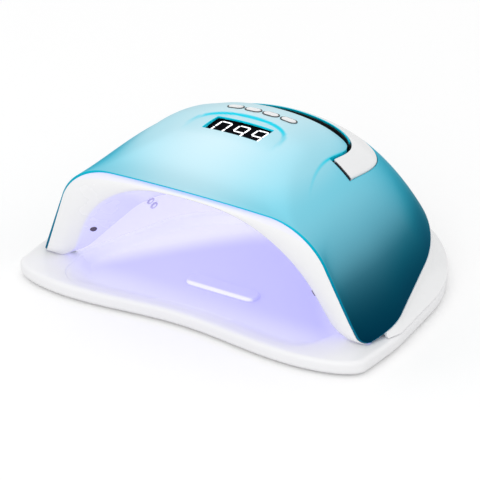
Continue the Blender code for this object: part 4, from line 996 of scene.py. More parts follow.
# Painted light: the beads' violet glow painted into the tray's colour and emission under the dome, deeper
# towards the right and pale on the inner walls.
TRAY_GLOW_LEVEL = (0.0018, 0.0030)
TRAY_GLOW_FRONT = (-0.090, -0.050)
TRAY_GLOW_REAR = (0.052, 0.036)
TRAY_GLOW_SIDE = (0.104, 0.094)
TRAY_LILAC_SLANT = 0.726
TRAY_LILAC_BLUNT = 0.020
TRAY_LILAC_EDGE = (0.058, 0.030)
TRAY_LILAC_RUN = (-0.040, 0.090)
BAR_EDGE = (-0.42, -0.28)
BAR_END = (0.50, 0.54)
BAR_LEVEL = (0.50, 0.10)
TRAY_GLOW = 0.18
TRAY_PAINTED_LILAC = (0.70, 0.69, 0.96)
TRAY_LILAC_DEEP = (0.63, 0.62, 0.96)
TRAY_PAINTED_PALE = (0.90, 0.89, 1.00)
TRAY_LILAC_SHARE = 0.3


def bar_front_edge(tree, aside, y, z):
    """Mask that is nought on the front edge of the tray's finger bar and one elsewhere, so that edge keeps
    plain white as a painted highlight.
    """
    off_edge = step_mask(tree, y, [BAR_Y + share * BAR_WIDE for share in BAR_EDGE], "LINEAR")
    off_end = step_mask(tree, aside, [share * BAR_LONG for share in BAR_END], "LINEAR")
    low = step_mask(tree, z, [TRAY_FLOOR_Z + share * BAR_TALL for share in BAR_LEVEL], "LINEAR")
    return math_of(tree, "MAXIMUM", math_of(tree, "MAXIMUM", off_edge, off_end), low)


def tray_white():
    """Satin white moulding of the tray, with the beads' violet light painted into its colour and glow under
    the dome; the finger bar's front edge stays white as a painted highlight.
    """
    tones = ((0.87, 0.87, 0.885), (0.90, 0.90, 0.91))
    made, tree, shader, vector, plain = moulded_base("satin_tray_white", tones, TRAY_GRAIN, RUBBED_WHITE)
    x, y, z = axes_of(tree, vector)
    aside = math_of(tree, "ABSOLUTE", x)
    blunt = add_node(tree, "ShaderNodeCombineXYZ", {"X": x, "Y": TRAY_LILAC_BLUNT})
    reach = vector_of(tree, "LENGTH", blunt.outputs["Vector"])
    slant = math_of(tree, "MULTIPLY_ADD", y, TRAY_LILAC_SLANT, reach.outputs["Value"])
    above = step_mask(tree, z, TRAY_GLOW_LEVEL)
    behind = math_of(tree, "MULTIPLY", above, step_mask(tree, y, TRAY_GLOW_FRONT))
    ahead = math_of(tree, "MULTIPLY", behind, step_mask(tree, y, TRAY_GLOW_REAR))
    indoors = math_of(tree, "MULTIPLY", ahead, step_mask(tree, aside, TRAY_GLOW_SIDE))
    shaded = math_of(tree, "MULTIPLY", behind, step_mask(tree, slant, TRAY_LILAC_EDGE))
    painted_light_mask = math_of(tree, "MULTIPLY", shaded, bar_front_edge(tree, aside, y, z))
    rightward = step_mask(tree, x, TRAY_LILAC_RUN, "LINEAR")
    painted_lilac = mix_colour(tree, rightward, TRAY_PAINTED_LILAC, TRAY_LILAC_DEEP)
    wall_glow = mix_colour(tree, indoors, UNLIT, TRAY_PAINTED_PALE)
    floor_glow = [TRAY_LILAC_SHARE * c for c in TRAY_PAINTED_LILAC]
    set_inputs(tree, shader, {
        "Base Color": mix_colour(tree, painted_light_mask, plain, painted_lilac),
        "Emission Color": mix_colour(tree, painted_light_mask, wall_glow, floor_glow),
        "Emission Strength": TRAY_GLOW, **coated(SATIN_COAT),
    })
    return made


def board_green():
    """Control board: solder mask with copper tracks showing through."""
    tones = ((0.010, 0.110, 0.050), (0.020, 0.160, 0.075))
    made, tree, shader, vector, mask = moulded_base("board_green", tones, ((0.32, 0.50), 50.0, 2500.0, 0.15))
    tracks = add_node(tree, "ShaderNodeTexBrick", {"Vector": vector, "Scale": 420.0, "Mortar Size": 0.012},
                      offset=0.5, squash=1.0)
    colour = mix_colour(tree, tracks.outputs["Fac"], mask, (0.050, 0.230, 0.110))
    set_inputs(tree, shader, {"Base Color": colour})
    return made


# Painted light: the reflector glows violet, standing in for the beads' light that it spreads.
GLOW_STOPS = (
    (0.00, (0.88, 0.86, 1.00)),
    (0.50, (0.92, 0.91, 1.00)),
    (1.00, (0.46, 0.44, 1.00)),
)
GLOW_STRENGTH = 0.27


def reflector_glow():
    """White reflector with a painted violet glow of its own that stands in for its beads' light, deeper
    towards the right foot.
    """
    # Violet cast of painted light on the white base colour.
    tones = ((0.76, 0.75, 0.88), (0.80, 0.79, 0.91))
    grain = ((0.16, 0.26), 26.0, 1300.0, 0.03)
    made, tree, shader, vector, colour = moulded_base("reflector_glow", tones, grain)
    rightward = step_mask(tree, axes_of(tree, vector)["X"], (-REFLECTOR_HALF, REFLECTOR_HALF), "LINEAR")
    glow = ramp_of(tree, rightward, GLOW_STOPS)
    set_inputs(tree, shader, {"Base Color": colour, "Emission Color": glow,
                              "Emission Strength": GLOW_STRENGTH})
    return made


def lit_resin(name, low, high, strength):
    """Lit resin of beads and digits, with a slightly uneven glow."""
    made, tree, shader, _, colour = moulded_base(name, (low, high), ((0.10, 0.20), 500.0, 3000.0, 0.02))
    set_inputs(tree, shader, {"Base Color": colour, "Emission Color": colour, "Emission Strength": strength})
    return made


TEAL = plated_teal()
# Glossy white of housing, base ring, handle and keys
WHITE = moulded_finish("gloss_white", ((0.83, 0.835, 0.845), (0.87, 0.873, 0.88)), GLOSS_GRAIN,
                       (0.91, 0.91, 0.91), coated(GLOSS_COAT))
BEZEL = bezel_white()
TRAY = tray_white()
# Black moulding of the well, the switches and the inlet
BLACK = moulded_finish("grained_black", ((0.008, 0.008, 0.009), (0.020, 0.020, 0.022)),
                       ((0.38, 0.55), 60.0, 2600.0, 0.35), (0.06, 0.06, 0.06), coated(0.0))
# Smoked display lens, its gloss dulled by a hard coating
LENS = moulded_finish("smoked_lens", ((0.003, 0.003, 0.004), (0.006, 0.006, 0.008)),
                      ((0.22, 0.34), 120.0, 800.0, 0.01), (0.007, 0.007, 0.009), {"Specular IOR Level": 0.0})
# Dull grey rubber of the feet
RUBBER = moulded_finish("foot_rubber", ((0.045, 0.045, 0.048), (0.075, 0.075, 0.080)),
                        ((0.75, 0.92), 90.0, 3200.0, 0.5), (0.13, 0.13, 0.13), coated(0.0))
# Dark violet resin of the hand sensors
SENSOR = moulded_finish("sensor_smoke", ((0.020, 0.008, 0.030), (0.045, 0.020, 0.060)),
                        ((0.08, 0.16), 300.0, 1500.0, 0.02), (0.10, 0.06, 0.12), coated(RESIN_COAT))
# Grey moulding of the digit module
MODULE = moulded_finish("module_grey", ((0.25, 0.26, 0.27), (0.33, 0.34, 0.35)),
                        ((0.35, 0.50), 70.0, 2000.0, 0.2), (0.42, 0.42, 0.42), coated(0.0))
# Plated steel of screws, pins and magnets, with fine turning lines
STEEL = moulded_finish("bright_steel", ((0.50, 0.51, 0.53), (0.66, 0.67, 0.69)),
                       ((0.22, 0.38), 400.0, 5000.0, 0.12), (0.80, 0.80, 0.80), {"Metallic": 1.0})
BOARD = board_green()
GLOW = reflector_glow()
BEAD = lit_resin("bead_violet", (0.84, 0.83, 0.94), (0.88, 0.87, 0.96), 0.22)
DIGIT_LIT = lit_resin("digit_lit", (0.92, 0.92, 0.94), (0.98, 0.98, 1.00), 1.0)
# Flexible strip behind the reflector: white tape with a violet cast of painted light from the beads
TAPE = moulded_finish("strip_tape", ((0.55, 0.50, 0.80), (0.66, 0.62, 0.86)),
                      ((0.35, 0.50), 80.0, 2200.0, 0.15), (0.75, 0.72, 0.90), coated(0.0))


# Cover

def corner_arc():
    """Arc of (Y, Z) points that rounds the cover's lower front corner, from the parting plane upwards."""
    lean = math.radians(SKIN_LEAN[0])
    up = np.array((math.sin(lean), math.cos(lean)))
    back = np.array((1.0, PARTING_SLOPE)) / math.hypot(1.0, PARTING_SLOPE)
    rise = PARTING_RISE + PARTING_SLOPE * (FRONT_Y - PARTING_Y)
    tip = np.array((FRONT_Y, LAMP_BASE_Z)) + up * rise / (up[1] - PARTING_SLOPE * up[0])
    half = math.acos(float(up @ back)) / 2.0
    centre = tip + (up + back) / np.linalg.norm(up + back) * CORNER_ROUND / math.sin(half)
    low = math.atan2(-back[0], back[1])
    sweep = 2.0 * half - math.pi
    turns = [low + sweep * i / CORNER_STEPS for i in range(CORNER_STEPS + 1)]
    return [centre + CORNER_ROUND * np.array((math.cos(a), math.sin(a))) for a in turns]


def round_corners(shape):
    """Slice both lower front corners of the cover's sheet off along the corner arc."""
    arc = corner_arc()
    for (y0, z0), (y1, z1) in zip(arc, arc[1:]):
        outward = Vector((0.0, z0 - z1, y1 - y0)).normalized()
        trim(shape, Vector((0.0, y0, z0)) - outward * EDGE_ROUND, outward, clear_outer=True)


def front_edge():
    """Points of the cover's front edge on the skin, rounded back at its two lower corners."""
    arc = corner_arc()
    inward = Vector((-1.0, 0.0, 0.0))
    foot = [SKIN.ray_cast(Vector((HIGH, y, z)), inward)[0] for y, z in arc[:-1]]
    whole = skin_arch(0.0, EDGE_COUNTS)
    right = np.array(foot + [p for p in whole[:sum(EDGE_COUNTS) + 1] if p[2] > arc[-1][1]])
    return stationed(mirrored(right))


def stationed(line):
    """The same line with the bezel's stations, closer together towards its two feet."""
    even = np.linspace(0.0, 1.0, BEZEL_STATIONS)
    turn = 2.0 * math.pi
    return np.array([at_share(line, s) for s in even - BEZEL_EASE * np.sin(turn * even) / turn])


def cover_rows():
    """Shares of the fan for the cover's rows, closer together across the display."""
    shares = np.linspace(COVER_FIRST_AT, COVER_LAST_AT, ROW_SAMPLES)
    crest = np.array([skin_arch(s, (1, 1, 1))[3] for s in shares])
    steps = np.linalg.norm(np.diff(crest, axis=0), axis=1)
    fine = (crest[1:, 1] > FINE_FRONT_Y) & (crest[1:, 1] < FINE_REAR_Y)
    run = np.concatenate(((0.0,), np.cumsum(steps / np.where(fine, FINE_STEP, PLAIN_STEP))))
    count = int(run[-1])
    return np.interp(np.linspace(0.0, run[-1], count + 1), run, shares)


def brow_relief(x, y):
    """Display panel sunk below the skin behind a curved step, fading forwards."""
    across = np.abs(x) / BROW_HALF
    back = np.clip((y - BROW_CENTRE_Y) / BROW_REAR, 0.0, None)
    rim = (across**BROW_POWER + back**BROW_POWER) ** (1.0 / BROW_POWER)
    depth = smooth((1.0 - rim) * BROW_REAR / BROW_STEP)
    fade = smooth((y - BROW_FRONT_Y) / (BROW_CENTRE_Y + BROW_REAR - BROW_FRONT_Y))
    return -BROW_DEEP * depth * fade


def crease_relief(x, y):
    """Crown plateau standing proud beside the handle's arms, fading forwards and backwards."""
    edge = CREASE_X + CREASE_CURVE * np.clip(CREASE_TOP_Y - y, 0.0, None) ** 2
    within = edge - np.abs(x)
    rise = smooth(within / CREASE_STEP) * (1.0 - smooth((within - CREASE_STEP) / CREASE_BACK))
    forward = 1.0 - smooth((CREASE_TOP_Y - y) / (CREASE_TOP_Y - CREASE_END_Y))
    rear_from, rear_to = CREASE_REAR_Y
    rearward = 1.0 - smooth((y - rear_from) / (rear_to - rear_from))
    return CREASE_RISE * rise * forward * rearward


def relief(x, y):
    """Height of the cover's face above the plain skin."""
    return brow_relief(x, y) + crease_relief(x, y)


def brow_slope(x, y):
    """Steepness of the step round the display panel."""
    across = brow_relief(x + SLOPE_STEP, y) - brow_relief(x - SLOPE_STEP, y)
    along = brow_relief(x, y + SLOPE_STEP) - brow_relief(x, y - SLOPE_STEP)
    return np.hypot(across, along) / (2.0 * SLOPE_STEP)


def grid_normals(grid):
    """Unit outward normals of a grid of points."""
    normal = np.cross(np.gradient(grid, axis=0), np.gradient(grid, axis=1))
    size = np.linalg.norm(normal, axis=2)[..., None]
    return normal / np.where(size > 0.0, size, 1.0)


def window_loop():
    """Plan loop of the display window, with small corner rounds."""
    half_x = WINDOW_LONG / 2 + EDGE_ROUND - WINDOW_CORNER
    half_y = WINDOW_WIDE / 2 + EDGE_ROUND - WINDOW_CORNER
    loop = []
    for corner, (sx, sy) in enumerate(QUARTERS):
        for i in range(WINDOW_CORNER_STEPS + 1):
            a = math.pi / 2 * (corner + i / WINDOW_CORNER_STEPS)
            loop.append((sx * half_x + WINDOW_CORNER * math.cos(a),
                         WINDOW_Y + sy * half_y + WINDOW_CORNER * math.sin(a)))
    return loop


def key_places():
    """Frames of the four keys on the cover, local Z along the skin's normal."""
    middle = (len(KEY_NAMES) - 1) / 2
    return [frame_at(*on_skin((number - middle) * KEY_PITCH, KEY_Y)) for number in range(len(KEY_NAMES))]


def key_loop(place):
    """Plan loop of one key hole."""
    ring = stadium(KEY_LONG + 2.0 * EDGE_ROUND, KEY_WIDE + 2.0 * EDGE_ROUND, 0.0)
    return [(place @ Vector(p)).to_2d() for p in ring]


def slot_loop():
    """Plan loop of the opening round the handle and the finger slot."""
    grow = RUN_GAP + EDGE_ROUND
    front = ARM_FRONT_Y - ARM_SWING_ROOM
    outside = bow(ARM_OUTSIDE + grow, front, STRAP_REAR_Y + grow, STRAP_BEND)
    inside = bow(ARM_INSIDE - grow, front, SLOT_FRONT_Y - grow, SLOT_BEND)
    return [tuple(p) for p in outside] + [tuple(p) for p in inside[::-1]]


def mark_painted_shade(cover, face_count):
    """Attribute of painted shade that is 1 on the cover's edges, recess walls and steps."""
    points = np.array([v.co for v in cover.data.vertices])
    x, y = points[:, 0], points[:, 1]
    deep = np.clip(brow_slope(x, y) / BROW_FULL_SLOPE, 0.0, 1.0) * (points[:, 2] > CROWN_LOW_Z)
    deep[face_count:] = 1.0
    layer = cover.data.attributes.new("painted_step_shade", "FLOAT", "POINT")
    layer.data.foreach_set("value", deep.astype(np.float32))


def cover_back(vert):
    """Point on the cover's plain inner face behind its outer face, straight below it round the handle."""
    point, normal, _, _ = SKIN.find_nearest(vert.co)
    back = point - normal * COVER_WALL
    if abs(point.x) < 2.0 * KEY_PITCH and point.y < KEY_Y + KEY_WIDE:
        return back
    below = point - Vector((0.0, 0.0, COVER_WALL / max(normal.z, STEEPEST)))
    upright = smooth((point.z - CROWN_LOW_Z) / CROWN_FADE) * smooth((point.y - BROW_FRONT_Y) / CROWN_FADE)
    return back.lerp(below, float(upright))


def make_cover():
    """Plated cover with the sunk display panel, key holes and the handle's opening."""
    grid = np.array([skin_arch(at, COVER_COUNTS) for at in cover_rows()])
    lift = relief(grid[..., 0], grid[..., 1]) * (grid[..., 2] > CROWN_LOW_Z)
    shape = sheet_of(grid + grid_normals(grid) * lift[..., None])
    normal = Vector((0.0, -PARTING_SLOPE, 1.0)).normalized()
    point = Vector((0.0, PARTING_Y, LAMP_BASE_Z + PARTING_RISE)) + normal * EDGE_ROUND
    trim(shape, point, normal, clear_inner=True)
    round_corners(shape)
    shape.normal_update()
    pierce(shape, window_loop())
    for place in key_places():
        pierce(shape, key_loop(place))
    pierce(shape, slot_loop())
    face_count = len(shape.verts)
    cover = moulded_shell("cover_shell", shape, COVER_WALL, TEAL, EDGE_ROUND, cover_back)
    mark_painted_shade(cover, face_count)
    dress(cover, "lamp", "teal_plate", "top_cover")


# Housing, bezel and reflector

def parting_height(y):
    """Height of the housing's upper edge at a place along Y."""
    return LAMP_BASE_Z + PARTING_RISE - GAP + PARTING_SLOPE * (y - PARTING_Y)


def housing_column(turn, steps):
    """Outer points of the housing from base to parting line, on one ray from the hub."""
    ray = Vector((math.cos(turn), math.sin(turn), 0.0))
    hub = Vector((0.0, HOUSING_HUB_Y, 0.0))
    low = LAMP_BASE_Z + GAP
    high = low
    for _ in range(PARTING_TRIES):
        hit = SKIN.ray_cast(hub + ray * HIGH + Vector((0.0, 0.0, high)), -ray)[0]
        high = parting_height(hit.y)
    column = []
    for share in np.linspace(0.0, 1.0, steps):
        start = hub + ray * HIGH + Vector((0.0, 0.0, low + (high - low) * share))
        waist = HOUSING_WAIST * math.sin(math.pi * share) * min(1.0, (high - low) / WAIST_BAND)
        column.append(SKIN.ray_cast(start, -ray)[0] - ray * waist)
    return column


def make_housing():
    """White lower shell behind the cover, drawn in to a waist below the parting line."""
    side = math.atan2(HOUSING_FRONT_Y - HOUSING_HUB_Y, BODY_HALF)
    turns = np.linspace(side, math.pi - side, HOUSING_COLUMNS)
    outer = np.array([housing_column(turn, HOUSING_LEVELS) for turn in turns])
    along = np.gradient(outer, axis=0)
    inward = unit(np.stack((-along[..., 1], along[..., 0], 0.0 * along[..., 0]), axis=-1))
    inner = outer + inward * HOUSING_WALL
    inner[:, -1, 2] = parting_height(inner[:, -1, 1])
    rings = [list(column) + list(back[::-1]) for column, back in zip(outer, inner)]
    housing = lofted("housing_shell", rings, WHITE)
    dress(housing, "lamp", "white_gloss", "rear_housing")
    return tree_of(outer)


def corner_round(before, corner, after, radius, steps):
    """Points that round a corner between two neighbours, for whole lines at once."""
    start = corner + unit(before - corner) * radius
    end = corner + unit(after - corner) * radius
    return [bent(start, corner, end, i / steps) for i in range(steps + 1)]


def flared(line):
    """The same line with its two feet curved outwards where they meet the tray."""
    low = np.clip(1.0 - (line[:, 2] - LAMP_BASE_Z) / FOOT_FLARE_TALL, 0.0, 1.0)
    out = np.array(line)
    out[:, 0] += np.sign(line[:, 0]) * FOOT_FLARE * low**2
    return out


def make_bezel():
    """White bell-mouth that laps the cover's front edge and runs over a soft mouth edge to the throat."""
    edge = front_edge()
    normal = np.array([SKIN.find_nearest(point)[1] for point in edge])
    ahead = unit(np.cross(normal, np.gradient(edge, axis=0)))
    mouth = flared(stationed(stand(arch(*MOUTH, EDGE_COUNTS), MOUTH_Y, MOUTH_LEAN)))
    throat = flared(stationed(stand(arch(*THROAT, EDGE_COUNTS), THROAT_Y, THROAT_LEAN)))
    seat = COVER_WALL + SEAT_GAP + GAP
    lip = edge - normal * LIP_SHOW + ahead * (LIP_GAP + LIP_THICK)
    lip_back = edge - normal * LIP_SHOW + ahead * LIP_GAP
    corner = edge - normal * seat + ahead * LIP_GAP
    heel = edge - normal * seat - ahead * HEEL_REACH
    swell = (lip + mouth) / 2.0 + np.array((0.0, -BEZEL_SWELL, 0.0))
    pull = 2.0 * swell - (lip + mouth) / 2.0
    face = [bent(lip, pull, mouth, at) for at in np.linspace(*BEZEL_FACE)]
    back = unit(np.cross(throat - mouth, np.gradient(mouth, axis=0)))
    back *= np.where(back[:, 1:2] < 0.0, -1.0, 1.0) * BEZEL_WALL
    lines = corner_round(lip_back, lip, face[0], EDGE_ROUND, EDGE_STEPS) + face
    lines += corner_round(face[-1], mouth, throat, MOUTH_ROUND, MOUTH_STEPS)
    lines += corner_round(mouth, throat, throat + back, EDGE_ROUND, EDGE_STEPS)
    lines += [throat + back, heel, corner, lip_back]
    rings = np.stack(lines, axis=1)
    rings[..., 2] = np.maximum(rings[..., 2], LAMP_BASE_Z + GAP)
    bezel = lofted("bezel_mouth", list(rings), BEZEL)
    dress(bezel, "lamp", "white_gloss", "front_bezel")


def make_reflector():
    """Inner dome that spreads the violet light, shown with a painted glow."""
    shares = np.linspace(0.0, 1.0, REFLECTOR_ROWS)
    shape = sheet_of(np.array([reflector_arch(at, REFLECTOR_COUNTS) for at in shares]))
    bmesh.ops.reverse_faces(shape, faces=shape.faces)
    reflector = moulded_shell("reflector_dome", shape, REFLECTOR_WALL, GLOW, EDGE_ROUND)
    dress(reflector, "lamp", "reflector_white", "reflector")


# Pieces set out by rule

def named_vector(tree, name):
    """Vector attribute read inside a geometry tree."""
    made = add_node(tree, "GeometryNodeInputNamedAttribute", {"Name": name}, data_type="FLOAT_VECTOR")
    return made.outputs["Attribute"]


def geometry_tree(name, inputs):
    """Empty geometry tree with a geometry in and out, some named inputs and a finish."""
    whole = {"Geometry": "Geometry", **inputs, "Finish": "Material"}
    return new_group(name, "GeometryNodeTree", {label: (kind, None) for label, kind in whole.items()},
                     {"Geometry": "Geometry"})


def finished_tree(tree, source, sink, shape):
    """End of a geometry tree: copies made real and given the finish."""
    real = add_node(tree, "GeometryNodeRealizeInstances", {"Geometry": shape})
    finish = add_node(tree, "GeometryNodeSetMaterial", {"Geometry": real.outputs["Geometry"],
                                                        "Material": source.outputs["Finish"]})
    set_inputs(tree, sink, {"Geometry": finish.outputs["Geometry"]})
    return tree


def set_out_tree():
    """Tree that sets a template out on points, turned to each point's own directions."""
    tree, source, sink = geometry_tree("set_out", {"Template": "Object", "Size": "Float"})
    given = source.outputs
    template = add_node(tree, "GeometryNodeObjectInfo", {"Object": given["Template"]})
    points = add_node(tree, "GeometryNodeMeshToPoints", {"Mesh": given["Geometry"]})
    upright = add_node(tree, "FunctionNodeAlignRotationToVector", {"Vector": named_vector(tree, "facing")},
                       axis="Z")
    turned_to = add_node(tree, "FunctionNodeAlignRotationToVector",
                         {"Rotation": upright.outputs["Rotation"], "Vector": named_vector(tree, "along")},
                         axis="X", pivot_axis="Z")
    stretch = add_node(tree, "ShaderNodeVectorMath",
                       {"Vector": named_vector(tree, "stretch"), "Scale": given["Size"]}, operation="SCALE")
    copies = add_node(tree, "GeometryNodeInstanceOnPoints",
                      {"Points": points.outputs["Points"], "Instance": template.outputs["Geometry"],
                       "Rotation": turned_to.outputs["Rotation"], "Scale": stretch.outputs["Vector"]})
    return finished_tree(tree, source, sink, copies.outputs["Instances"])


def edge_strip_tree():
    """Tree that sweeps a rounded strip section along a path."""
    tree, source, sink = geometry_tree("edge_strip", {"Strip Thickness": "Float", "Strip Height": "Float",
                                                      "Corner": "Float"})
    given = source.outputs
    path = add_node(tree, "GeometryNodeMeshToCurve", {"Mesh": given["Geometry"]})
    upright = add_node(tree, "GeometryNodeSetCurveNormal", {"Curve": path.outputs["Curve"]}, mode="Z_UP")
    section = add_node(tree, "GeometryNodeCurvePrimitiveQuadrilateral",
                       {"Width": given["Strip Thickness"], "Height": given["Strip Height"]})
    rounded = add_node(tree, "GeometryNodeFilletCurve",
                       {"Curve": section.outputs["Curve"], "Radius": given["Corner"],
                        "Count": STRIP_CORNER_STEPS}, mode="POLY")
    swept = add_node(tree, "GeometryNodeCurveToMesh",
                     {"Curve": upright.outputs["Curve"], "Profile Curve": rounded.outputs["Curve"],
                      "Fill Caps": True})
    return finished_tree(tree, source, sink, swept.outputs["Mesh"])


def grown(name, mesh, tree, values, finish):
    """Plain piece that a geometry tree grows from a mesh of points or edges."""
    seed = bpy.data.objects.new(name + "_seed", mesh)
    bpy.context.scene.collection.objects.link(seed)
    step = seed.modifiers.new("grow", "NODES")
    step.node_group = tree
    for socket in tree.interface.items_tree:
        if socket.item_type == "SOCKET" and socket.in_out == "INPUT" and socket.name in values:
            step[socket.identifier] = values[socket.name]
    bpy.context.view_layer.update()
    graph = bpy.context.evaluated_depsgraph_get()
    result = bpy.data.meshes.new_from_object(seed.evaluated_get(graph), depsgraph=graph)
    seed.modifiers.clear()
    bpy.data.objects.remove(seed, do_unlink=True)
    for layer in ("facing", "along", "stretch"):
        if layer in result.attributes:
            result.attributes.remove(result.attributes[layer])
    return put(name, result, finish)


def set_out(name, template, spots, finish, size=1.0):
    """Set a template out on spots of (point, facing, along, stretch), then drop it."""
    mesh = bpy.data.meshes.new(name)
    mesh.from_pydata([tuple(spot[0]) for spot in spots], [], [])
    for column, layer in enumerate(("facing", "along", "stretch"), start=1):
        data = mesh.attributes.new(layer, "FLOAT_VECTOR", "POINT")
        data.data.foreach_set("vector", [c for spot in spots for c in spot[column]])
    values = {"Template": template, "Size": size, "Finish": finish}
    piece = grown(name, mesh, SET_OUT, values, finish)
    bpy.data.objects.remove(template, do_unlink=True)
    return piece


SET_OUT = set_out_tree()
EDGE_STRIP = edge_strip_tree()
EVEN = (1.0, 1.0, 1.0)
UPRIGHT = Matrix.Identity(4)


def bead_spots():
    """Places of the LED beads on the reflector's inner face."""
    spots = []
    for across in STRIP_ACROSS:
        for at in np.linspace(BEAD_FRONT_AT, BEAD_REAR_AT, BEADS_PER_STRIP):
            here = at_share(reflector_arch(at, BEAD_COUNTS), 0.5 - across / 2.0)
            beside = at_share(reflector_arch(at, BEAD_COUNTS), 0.5 - (across + BEAD_NUDGE) / 2.0)
            behind = at_share(reflector_arch(at + BEAD_NUDGE, BEAD_COUNTS), 0.5 - across / 2.0)
            along = Vector(beside - here).normalized()
            facing = Vector(np.cross(beside - here, behind - here)).normalized()
            if facing.dot(Vector((0.0, REFLECTOR_Y, LAMP_BASE_Z)) - Vector(here)) < 0.0:
                facing.negate()
            spots.append((here, facing, along, EVEN))
    return spots


def make_beads():
    """LED bead lenses in white collars, set out along the three strips."""
    dome = [(0.0, BEAD_ROOT), (BEAD_RADIUS, BEAD_ROOT)]
    dome += [(BEAD_RADIUS * math.cos(a), BEAD_PROUD * math.sin(a)) for a in quarter(BEAD_STEPS)[:-1]]
    dome += [(BEAD_TIP, BEAD_PROUD), (0.0, BEAD_PROUD)]
    lens = turned("bead_template", dome, UPRIGHT, BEAD, sides=20)
    dress(set_out("bead_lenses", lens, bead_spots(), BEAD), "lamp", "bead_violet")
    wide = BEAD_RADIUS + COLLAR_WIDE
    collar = [(0.0, COLLAR_ROOT), (wide, COLLAR_ROOT), (wide, COLLAR_REST), (wide - COLLAR_SOFT, COLLAR_TALL),
              (BEAD_RADIUS + COLLAR_REST, COLLAR_TALL), (BEAD_RADIUS - COLLAR_SOFT, COLLAR_FLOOR),
              (0.0, COLLAR_FLOOR)]
    # The collars take the reflector's painted violet glow.
    ring = turned("collar_template", collar, UPRIGHT, GLOW, sides=20)
    dress(set_out("bead_collars", ring, bead_spots(), GLOW), "lamp", "reflector_white")


def spot_under(node, facing):
    """Spot at the middle of a node's lowest face."""
    low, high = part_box(node)
    return ((low.x + high.x) / 2, (low.y + high.y) / 2, low.z), facing, (1.0, 0.0, 0.0), EVEN


def make_screws():
    """Cross-head screws that hold the base ring."""
    soft_out, soft_down = SCREW_SOFT
    profile = [(0.0, -SCREW_LONG), (SCREW_SHANK, -SCREW_LONG), (SCREW_SHANK, -SCREW_HEAD_TALL),
               (SCREW_HEAD, -SCREW_HEAD_TALL), (SCREW_HEAD, -soft_down), (SCREW_HEAD - soft_out, 0.0),
               (0.0, 0.0)]
    screw = turned("screw_template", profile, UPRIGHT, STEEL, sides=24)
    for turn in (0.0, math.pi / 2):
        slot = [(sx * SLOT_HALF_LONG, sy * SLOT_HALF_WIDE) for sx, sy in QUARTERS]
        rings = [level(slot, z) for z in SLOT_LEVELS]
        bit = lofted("screw_bit", rings, STEEL, Matrix.Rotation(turn, 4, "Z"))
        joined(screw, bit, "DIFFERENCE")
    names = [f"ring_screw_{i}" for i in range(1, 7)]
    spots = [spot_under(name, (0.0, 0.0, -1.0)) for name in names]
    dress(set_out("ring_screws", screw, spots, STEEL), "lamp", "steel", *names)


def make_feet():
    """Rubber feet with a rounded, slightly hollow sole."""
    names = [f"tray_foot_{i}" for i in range(1, 5)]
    low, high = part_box(names[0])
    tall = high.z - low.z
    sole = FOOT_RADIUS - SOLE_RIM
    profile = [(0.0, -tall), (FOOT_RADIUS, -tall), (FOOT_RADIUS, -FOOT_SOFT),
               (FOOT_RADIUS - FOOT_EASED, -FOOT_EASED), (FOOT_RADIUS - FOOT_SOFT, 0.0), (sole, 0.0),
               (sole - FOOT_SOFT, -SOLE_DEEP), (0.0, -SOLE_DEEP)]
    foot = turned("foot_template", profile, UPRIGHT, RUBBER, sides=40)
    spots = [spot_under(name, (0.0, 0.0, -1.0)) for name in names]
    dress(set_out("tray_feet", foot, spots, RUBBER), "tray", "rubber_grey", *names)


# Display and keys

def lens_frame():
    """Frame on the display lens's upper face, read from its solid."""
    mesh = NODES["display_lens"].data
    up = max(mesh.polygons, key=lambda face: face.normal.z * face.area).normal.copy()
    points = [v.co for v in mesh.vertices]
    top = max(p.dot(up) for p in points)
    centre = sum(points, Vector()) / len(points)
    return frame_at(centre + up * (top - centre.dot(up)), up)


SEGMENTS = {"0": "abcdef", "9": "abcdfg"}


def segment_spots(place, lit):
    """Spots of the lit or the unlit segments of the three digits."""
    half_x, half_y = DIGIT_WIDE / 2, DIGIT_TALL / 2
    layout = {"a": (0.0, half_y, 0), "g": (0.0, 0.0, 0), "d": (0.0, -half_y, 0),
              "b": (half_x, half_y / 2, 1), "c": (half_x, -half_y / 2, 1),
              "f": (-half_x, half_y / 2, 1), "e": (-half_x, -half_y / 2, 1)}
    turn = place.to_3x3()
    spots = []
    for number, digit in enumerate(DIGITS):
        for key, (x, y, upright) in layout.items():
            if (key in SEGMENTS[digit]) != lit:
                continue
            run = Vector((DIGIT_LEAN, 1.0, 0.0)) if upright else Vector((1.0, 0.0, 0.0))
            length = (half_y if upright else DIGIT_WIDE) - SEGMENT_WIDE * SEGMENT_TRIM
            middle = Vector(((number - 1) * DIGIT_PITCH + x + DIGIT_LEAN * y, y, 0.0))
            spots.append((place @ middle, turn @ Vector((0.0, 0.0, 1.0)), turn @ run.normalized(),
                          (length, SEGMENT_WIDE, SEGMENT_TALL)))
    return spots


def segment_template():
    """Six-sided bar of unit size, lying on its base."""
    slant = SEGMENT_SLANT
    outline = ((0.5, 0.0), (slant, 0.5), (-slant, 0.5), (-0.5, 0.0), (-slant, -0.5), (slant, -0.5))
    top_x, top_y = SEGMENT_TOP
    top = [(top_x * x, top_y * y) for x, y in outline]
    rings = [level(outline, 0.0), level(outline, SEGMENT_EDGE), level(top, 1.0)]
    return lofted("segment_template", rings, DIGIT_LIT)


